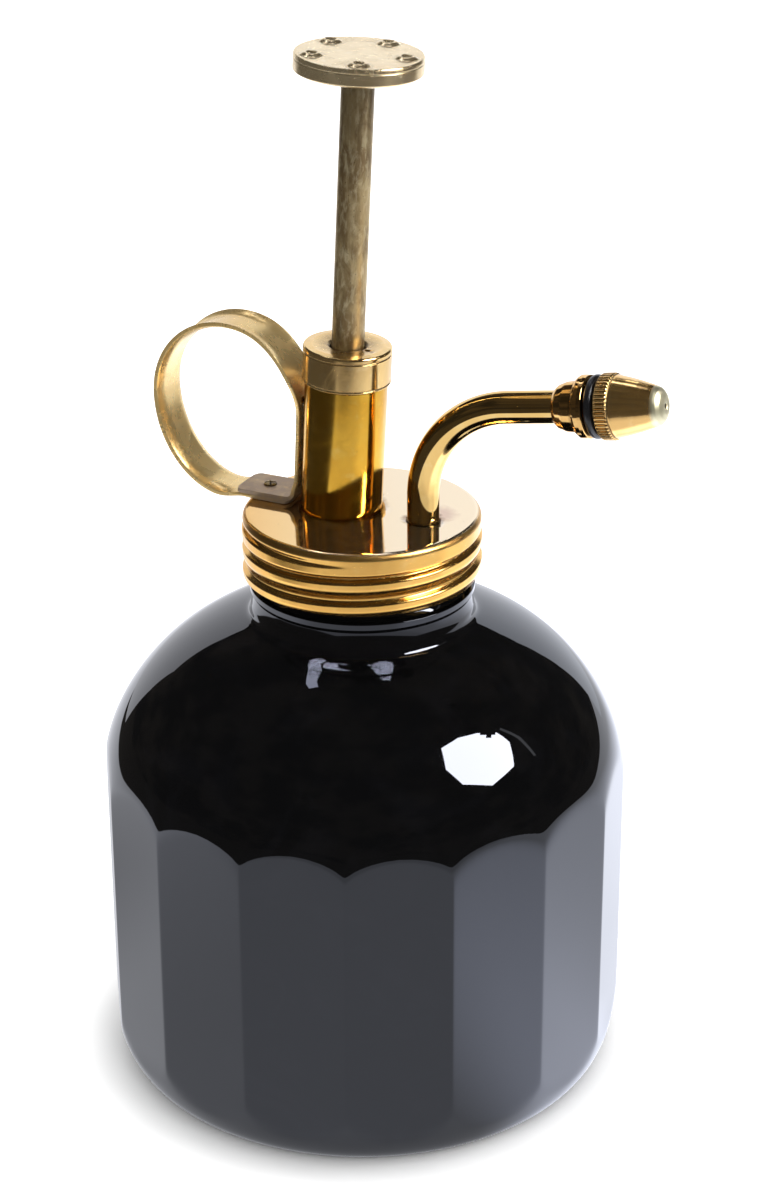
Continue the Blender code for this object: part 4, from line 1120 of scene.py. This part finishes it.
def lump(name, centre, size, mat, body, seed=1, squash=(1, 1, 1), slot_at=WORLD):
    """A small uneven blob, such as a run of solder."""
    rng = np.random.RandomState(seed)
    rows, cols = 22, 32
    theta = np.arange(cols) * TAU / cols
    phi = np.linspace(0, PI, rows)[1:-1]
    waves = [(rng.randint(1, 4), rng.randint(1, 4), rng.rand() * TAU, 0.07 + 0.08 * rng.rand()) for _ in range(5)]
    P, T = np.meshgrid(phi, theta, indexing="ij")
    r = np.ones_like(P)
    for a, b, c, w in waves:
        r += w * np.sin(a * T + c) * np.sin(b * P) ** 2
    X = r * np.sin(P) * np.cos(T) * size * squash[0]
    Y = r * np.sin(P) * np.sin(T) * size * squash[1]
    Z = r * np.cos(P) * size * squash[2]
    pts = np.stack([X, Y, Z], -1).reshape(-1, 3) + np.array(centre)
    faces = grid_faces(len(phi), cols)
    n = len(pts)
    pts = np.vstack([pts, [np.array(centre) + [0, 0, size * squash[2]], np.array(centre) - [0, 0, size * squash[2]]]])
    for j in range(cols):
        j2 = (j + 1) % cols
        faces.append((n, j2, j))
        faces.append((n + 1, (len(phi) - 1) * cols + j, (len(phi) - 1) * cols + j2))
    return build(name, pts, faces, mat, body, (), at=slot_at)


lump("solder_run_upper", (-8.05, -1.6, 19.6), 0.75, solder_mat, "head", 3, (0.5, 1.3, 1.3), PUMP)
lump("solder_run_middle", (-8.0, 1.4, 14.8), 0.7, solder_mat, "head", 5, (0.5, 1.6, 1.6), PUMP)


def rivet():
    """A small staked head with a cross punched into it, and the shank below."""
    top = LID_TOP + 0.07 + 2 * 0.76 + 0.03
    cols = 96
    rr = np.arange(0.06, 1.18, 0.06)
    rows = [(r, top + 0.26 + 0.30 * math.sqrt(max(0.0, 1 - (r / 1.25) ** 2)), True) for r in rr]
    rows += [(1.24, top + 0.20, False), (1.26, top + 0.10, False), (1.20, top + 0.02, False),
             (1.0, top + 0.0, False), (1.0, top - 1.2, False), (1.0, LID_TOP - 0.75, False),
             (0.92, LID_TOP - 0.85, False)]
    theta = np.arange(cols) * TAU / cols
    R = np.array([r for r, _, _ in rows])[:, None] * np.ones(cols)
    Z = np.array([z for _, z, _ in rows])[:, None] * np.ones(cols)
    T = np.ones((len(rows), 1)) * theta[None, :]
    X, Y = R * np.cos(T), R * np.sin(T)
    t = np.array([f for _, _, f in rows])[:, None] & np.ones((1, cols), bool)
    c, s = math.cos(0.5), math.sin(0.5)
    u, w = X * c + Y * s, -X * s + Y * c
    groove = np.maximum(near(u, 0.0, 0.24), near(w, 0.0, 0.24)) * (1 - ease((R - 0.8) / 0.4))
    Z = Z - np.where(t, 0.34 * groove, 0.0)
    pts = np.stack([X, Y, Z], -1).reshape(-1, 3)
    dirt = np.where(t, groove, 0.3).ravel()
    faces = grid_faces(len(rows), cols)
    pts = np.vstack([pts, [[0, 0, top + 0.22], [0, 0, LID_TOP - 0.86]]])
    a, b = len(rows) * cols, len(rows) * cols + 1
    for j in range(cols):
        j2 = (j + 1) % cols
        faces.append((a, j2, j))
        faces.append((b, (len(rows) - 1) * cols + j, (len(rows) - 1) * cols + j2))
    at = WORLD.copy()
    at[0, 3] = -19.1
    return build("strap_rivet", pts, faces, rivet_mat, "head", ("ring_rivet",), at=at,
                 grime=np.append(dirt, [1, 0]))


rivet()


# ================================================================ return spring
def spring():
    r, wire, z0, z1, coils = 4.0, 0.45, -45.2, 12.0, 11
    steps, cols = coils * 40, 16
    t = np.linspace(0, 1, steps + 1)
    height = z0 + (z1 - z0) * t
    a = TAU * coils * t
    centre = np.stack([r * np.cos(a), r * np.sin(a), height], -1)
    tangent = np.gradient(centre, axis=0)
    tangent /= np.linalg.norm(tangent, axis=1)[:, None]
    radial = np.stack([np.cos(a), np.sin(a), np.zeros_like(a)], -1)
    binormal = np.cross(tangent, radial)
    binormal /= np.linalg.norm(binormal, axis=1)[:, None]
    ang = np.arange(cols) * TAU / cols
    pts = (centre[:, None, :] + wire * (np.cos(ang)[None, :, None] * radial[:, None, :]
                                        + np.sin(ang)[None, :, None] * binormal[:, None, :])).reshape(-1, 3)
    faces = grid_faces(steps + 1, cols)
    n = len(pts)
    pts = np.vstack([pts, centre[:1], centre[-1:]])
    for j in range(cols):
        j2 = (j + 1) % cols
        faces.append((n, j2, j))
        faces.append((n + 1, steps * cols + j, steps * cols + j2))
    obj = build("coil_spring", pts, faces, spring_mat, "head", ("return_spring",), at=PUMP)
    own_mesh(obj)
    return obj


spring()

# ================================================================ pieces kept from the frame
kept = {
    "lid_gasket": gasket_mat, "rod_packing": felt_mat, "packing_retainer": inner_mat,
    "piston": inner_mat, "piston_cup": leather_mat, "piston_nut": inner_mat, "valve_body": inner_mat,
    "inlet_ball": steel_mat, "ball_stop_pin": steel_mat, "outlet_ball": steel_mat,
    "outlet_plug": inner_mat, "dip_tube": inner_mat, "dip_strainer": inner_mat, "swirl_core": inner_mat,
}
for node, mat in kept.items():
    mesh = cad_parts[node].data
    if len(mesh.materials) == 0:
        mesh.materials.append(mat)
    for i in range(len(mesh.materials)):
        mesh.materials[i] = mat


# ================================================================ set
def stage_mesh(name, pts, faces, mat):
    mesh = bpy.data.meshes.new(name)
    mesh.from_pydata([tuple(Vector(p) * MM) for p in pts], [], faces)
    mesh.materials.append(mat)
    obj = bpy.data.objects.new(name, mesh)
    bpy.context.scene.collection.objects.link(obj)
    return obj


def spot(right, front, up):
    """A point of the set, in mm, from its distance right, front and up."""
    return tuple(RIGHT * right + FRONT * front + UP * up)


def set_position(n):
    """Right, front and height of the shaded point, in mm."""
    p = n.vec("SCALE", n.node("ShaderNodeNewGeometry").outputs["Position"], 1000.0)
    return (n.vec("DOT_PRODUCT", p, tuple(RIGHT)), n.vec("DOT_PRODUCT", p, tuple(FRONT)),
            n.vec("DOT_PRODUCT", p, tuple(UP)))


# For mirror rays the floor glows: painted pools of light and painted shade on it stand in for the lit studio floor.
# Camera rays see lit paper.
floor_mat, n = new_material("floor")
rays = n.node("ShaderNodeLightPath").outputs
r_, f_, u_ = set_position(n)
turn_ = n.mul(n.math("ARCTAN2", r_, f_), 180.0 / PI)          # 0 towards the camera, 90 to the right
far_ = n.math("SQRT", n.add(n.mul(r_, r_), n.mul(f_, f_)))
# a bright patch on the right and behind, which fades away from the object
near_side = n.step(far_, 40.0, 300.0, 1.0, 0.0)
far_side = n.step(far_, 190.0, 420.0, 1.0, 0.0)
fade = n.step(turn_, 72.0, 100.0)
fade = n.add(n.mul(near_side, n.math("SUBTRACT", 1.0, fade)), n.mul(far_side, fade))
strong = n.mul(n.step(turn_, 26.0, 50.0), fade)
peak = n.mix(n.step(turn_, 72.0, 100.0), (2.45, 2.56, 2.95), (1.62, 1.68, 1.88))
peak = n.mix(n.step(turn_, 115.0, 145.0), peak, (1.92, 1.99, 2.24))
tone = n.mix(strong, (1.02, 1.04, 1.11), peak)
# on the left it is a little brighter away from the object
left = n.mul(n.step(turn_, -40.0, -80.0), n.step(far_, 60.0, 230.0))
tone = n.mix(left, tone, (1.60, 1.63, 1.76))
behind = n.mix(n.step(far_, 105.0, 185.0), (0.68, 0.69, 0.74), (1.25, 1.27, 1.36))
tone = n.mix(n.step(turn_, -88.0, -112.0), tone, behind)
# right under the object it lies in shade
tone = n.mix(n.step(far_, 44.0, 58.0, 0.50, 0.0), tone, (0.03, 0.03, 0.03))
# it dims in front and ends along a slanting line on the left
tone = n.mix(n.mul(n.step(f_, 190.0, 260.0), 0.24), tone, (0.0, 0.0, 0.0))
slant = n.math("SUBTRACT", r_, n.mul(n.math("MAXIMUM", f_, -60.0), 0.287))
edge = n.mul(n.step(slant, -268.0, -248.0), n.step(f_, 345.0, 318.0))
behind_right = n.math("MAXIMUM", n.math("SUBTRACT", -170.0, f_), 0.0)
edge = n.mul(edge, n.step(n.math("SUBTRACT", r_, n.mul(behind_right, 0.6)), 466.0, 446.0))
seen = n.mix(edge, (0.050, 0.045, 0.040), tone)
emit = n.node("ShaderNodeEmission", {"Color": n.mix(rays["Is Glossy Ray"], (1.0, 1.0, 1.0), seen)})
# painted contact shadow: the paper's colour is darker right at the foot, where the bottle meets it, and darker on the
# left than on the right
side = n.step(n.vec("DOT_PRODUCT", n.vec("NORMALIZE", n.join(r_, f_, 0.0)), (1.0, 0.0, 0.0)), -0.3, 0.9)
paper_painted_shadow = n.mix(n.mul(n.step(far_, 58.0, 46.0), n.mix(side, (0.39, 0.39, 0.39), (0.16, 0.16, 0.16))),
              (1.74, 1.74, 1.74), (0.0, 0.0, 0.0))
paper = n.node("ShaderNodeBsdfDiffuse", {"Color": paper_painted_shadow})
mix = n.node("ShaderNodeMixShader", {0: rays["Is Camera Ray"], 1: emit.outputs[0], 2: paper.outputs[0]})
n.surface(mix.outputs[0])
floor_mat.cycles.emission_sampling = "NONE"
stage_mesh("floor", [(-4000, -4000, 0), (4000, -4000, 0), (4000, 4000, 0), (-4000, 4000, 0)],
           [(0, 1, 2, 3)], floor_mat)


def lamp_material(name, colour, strength):
    mat, n = new_material(name)
    e = n.node("ShaderNodeEmission", {"Color": colour, "Strength": strength})
    n.surface(e.outputs[0])
    mat.cycles.emission_sampling = "NONE"
    return mat


def reflected_only(obj):
    obj.visible_camera = False
    obj.visible_diffuse = False
    obj.visible_shadow = False
    obj.visible_transmission = False


backdrop_mat, n = new_material("backdrop")
r_, f_, u_ = set_position(n)
tone = n.mix(n.step(r_, -80.0, 240.0), (1.05, 1.06, 1.12), (1.25, 1.30, 1.42))
e = n.node("ShaderNodeEmission", {"Color": tone})
n.surface(e.outputs[0])
backdrop_mat.cycles.emission_sampling = "NONE"
outline = [(-403, -5), (-415, 129), (-398, 241), (-354, 274), (-312, 303), (-259, 337), (-200, 355),
           (-150, 392), (-100, 440), (100, 440), (140, 380), (167, 333), (238, 324), (282, 302),
           (322, 245), (348, 176), (361, 92), (382, -5)]
backdrop = stage_mesh("backdrop", [spot(r, -430, z) for r, z in outline],
                      [tuple(range(len(outline)))], backdrop_mat)
reflected_only(backdrop)



def lamp_patch(name, corners, colour, strength, closer=1.0, lift=0.0):
    """A flat lamp with any outline; closer < 1 draws it towards the dome and
    lift, in degrees, swings it up and forward over the dome."""
    dome_point = np.array([21.0, 36.0, 79.0])
    c, sn = math.cos(math.radians(lift)), math.sin(math.radians(lift))
    corners = [(r, 36.0 + (f - 36.0) * c + (u - 79.0) * sn, 79.0 - (f - 36.0) * sn + (u - 79.0) * c)
               for r, f, u in corners]
    pts = [dome_point + (np.array(c, float) - dome_point) * closer for c in corners]
    middle = sum(pts) / len(pts)
    if len(corners) == 9:                             # the softbox is drawn as a fan
        world = [spot(*q) for q in pts] + [spot(*middle)]
        faces = [(k, (k + 1) % 9, 9) for k in range(9)]
    else:
        world = [spot(*q) for q in pts]
        faces = [tuple(range(len(pts)))]
    obj = stage_mesh(name, world, faces, lamp_material(name, colour, strength))
    reflected_only(obj)
    return obj


# octagonal softbox, high on the right, with its bracket and the rim of its hood
lamp_patch("softbox", [(299, 210, 575), (345, 129, 573), (401, 68, 543), (456, 24, 496), (504, 33, 438),
                       (541, 119, 369), (498, 257, 362), (401, 332, 427), (332, 306, 508)],
           (1.0, 1.0, 1.03), 24.0)
lamp_patch("softbox_bracket", [(407, 51, 541), (413, 72, 534), (432, 59, 519), (436, 75, 514),
                               (451, 63, 501), (446, 48, 506), (458, 38, 496), (451, 18, 502)],
           (0.05, 0.05, 0.05), 1.0, 0.97)
lamp_patch("softbox_hood", [(460, -10, 493), (523, -27, 415), (577, -11, 323), (575, 1, 328),
                            (522, -11, 418), (461, 3, 493)], (1.0, 1.0, 1.0), 0.9)

# pale panels overhead, behind the object
lavender = (0.90, 0.93, 1.12)
lamp_patch("panel_bar", [(-140, -362, 539), (-97, -356, 554), (-114, -310, 582), (-112, -271, 604),
                         (-133, -217, 626), (-134, -182, 640), (-161, -176, 634),
                         (-165, -205, 622), (-145, -288, 588)], lavender, 4.6, lift=5.5)
lamp_patch("panel_arm", [(-104, -309, 584), (-63, -288, 602), (25, -303, 597), (26, -269, 615),
                         (-35, -261, 619), (-72, -267, 613), (-108, -282, 599)], lavender, 4.6, lift=5.5)
lamp_patch("panel_end", [(25, -303, 597), (78, -295, 597), (77, -261, 615), (74, -215, 637),
                         (53, -213, 639), (41, -241, 628), (27, -258, 621)], lavender, 4.6, lift=5.5)
lamp_patch("panel_edge", [(80, -369, 547), (114, -395, 519), (143, -433, 474), (138, -441, 466),
                          (110, -411, 505), (79, -383, 535)], (1.0, 1.0, 1.04), 6.5)

world = bpy.data.worlds.new("studio")
bpy.context.scene.world = world
world.use_nodes = True
n = Nodes(world.node_tree)
rays = n.node("ShaderNodeLightPath").outputs
direction = n.node("ShaderNodeTexCoord").outputs["Generated"]
up_ = n.split(direction)[2]
right_ = n.vec("DOT_PRODUCT", direction, tuple(RIGHT))
# dim studio: a little warmer low down, faint shapes
shapes = n.noise(n.vec("MULTIPLY", direction, (3.0, 3.0, 5.0)), 1.0, 3.0, 0.6)
room = n.mix(n.step(shapes, 0.40, 0.62), (0.022, 0.021, 0.021), (0.060, 0.052, 0.045))
ambient = n.mix(n.step(right_, -0.9, 0.9), (0.83, 0.83, 0.83), (1.17, 1.17, 1.17))
colour = n.mix(rays["Is Glossy Ray"], ambient, room)
colour = n.mix(rays["Is Camera Ray"], colour, (1.0, 1.0, 1.0))
background = n.node("ShaderNodeBackground", {"Color": colour, "Strength": 1.0})
out = n.node("ShaderNodeOutputWorld")
n.tree.links.new(background.outputs[0], out.inputs["Surface"])
world.cycles.sampling_method = "NONE"

# ================================================================ camera
pitch = math.radians(24.253)
roll = math.radians(-0.169)
where = RIGHT * 5.148 + FRONT * 479.75 + UP * 310.16
forward = -FRONT * math.cos(pitch) - UP * math.sin(pitch)
up_v = -FRONT * math.sin(pitch) + UP * math.cos(pitch)
cam_right = RIGHT * math.cos(roll) + up_v * math.sin(roll)
cam_up = up_v * math.cos(roll) - RIGHT * math.sin(roll)
camera_data = bpy.data.cameras.new("camera")
camera_data.sensor_fit = "VERTICAL"
camera_data.sensor_height = 36.0
camera_data.sensor_width = 36.0
camera_data.lens = 36.0 * 2800.0 / 1196.0
camera_data.clip_start = 0.01
camera_data.clip_end = 20.0
camera = bpy.data.objects.new("camera", camera_data)
bpy.context.scene.collection.objects.link(camera)
m = np.eye(4)
m[:3, 0], m[:3, 1], m[:3, 2], m[:3, 3] = cam_right, cam_up, -forward, where * MM
camera.matrix_world = Matrix(m.tolist())
bpy.context.scene.camera = camera

bpy.context.scene.view_settings.view_transform = "Standard"
bpy.context.scene.view_settings.look = "None"
bpy.context.scene.view_settings.exposure = 0.0
bpy.context.scene.view_settings.gamma = 1.0
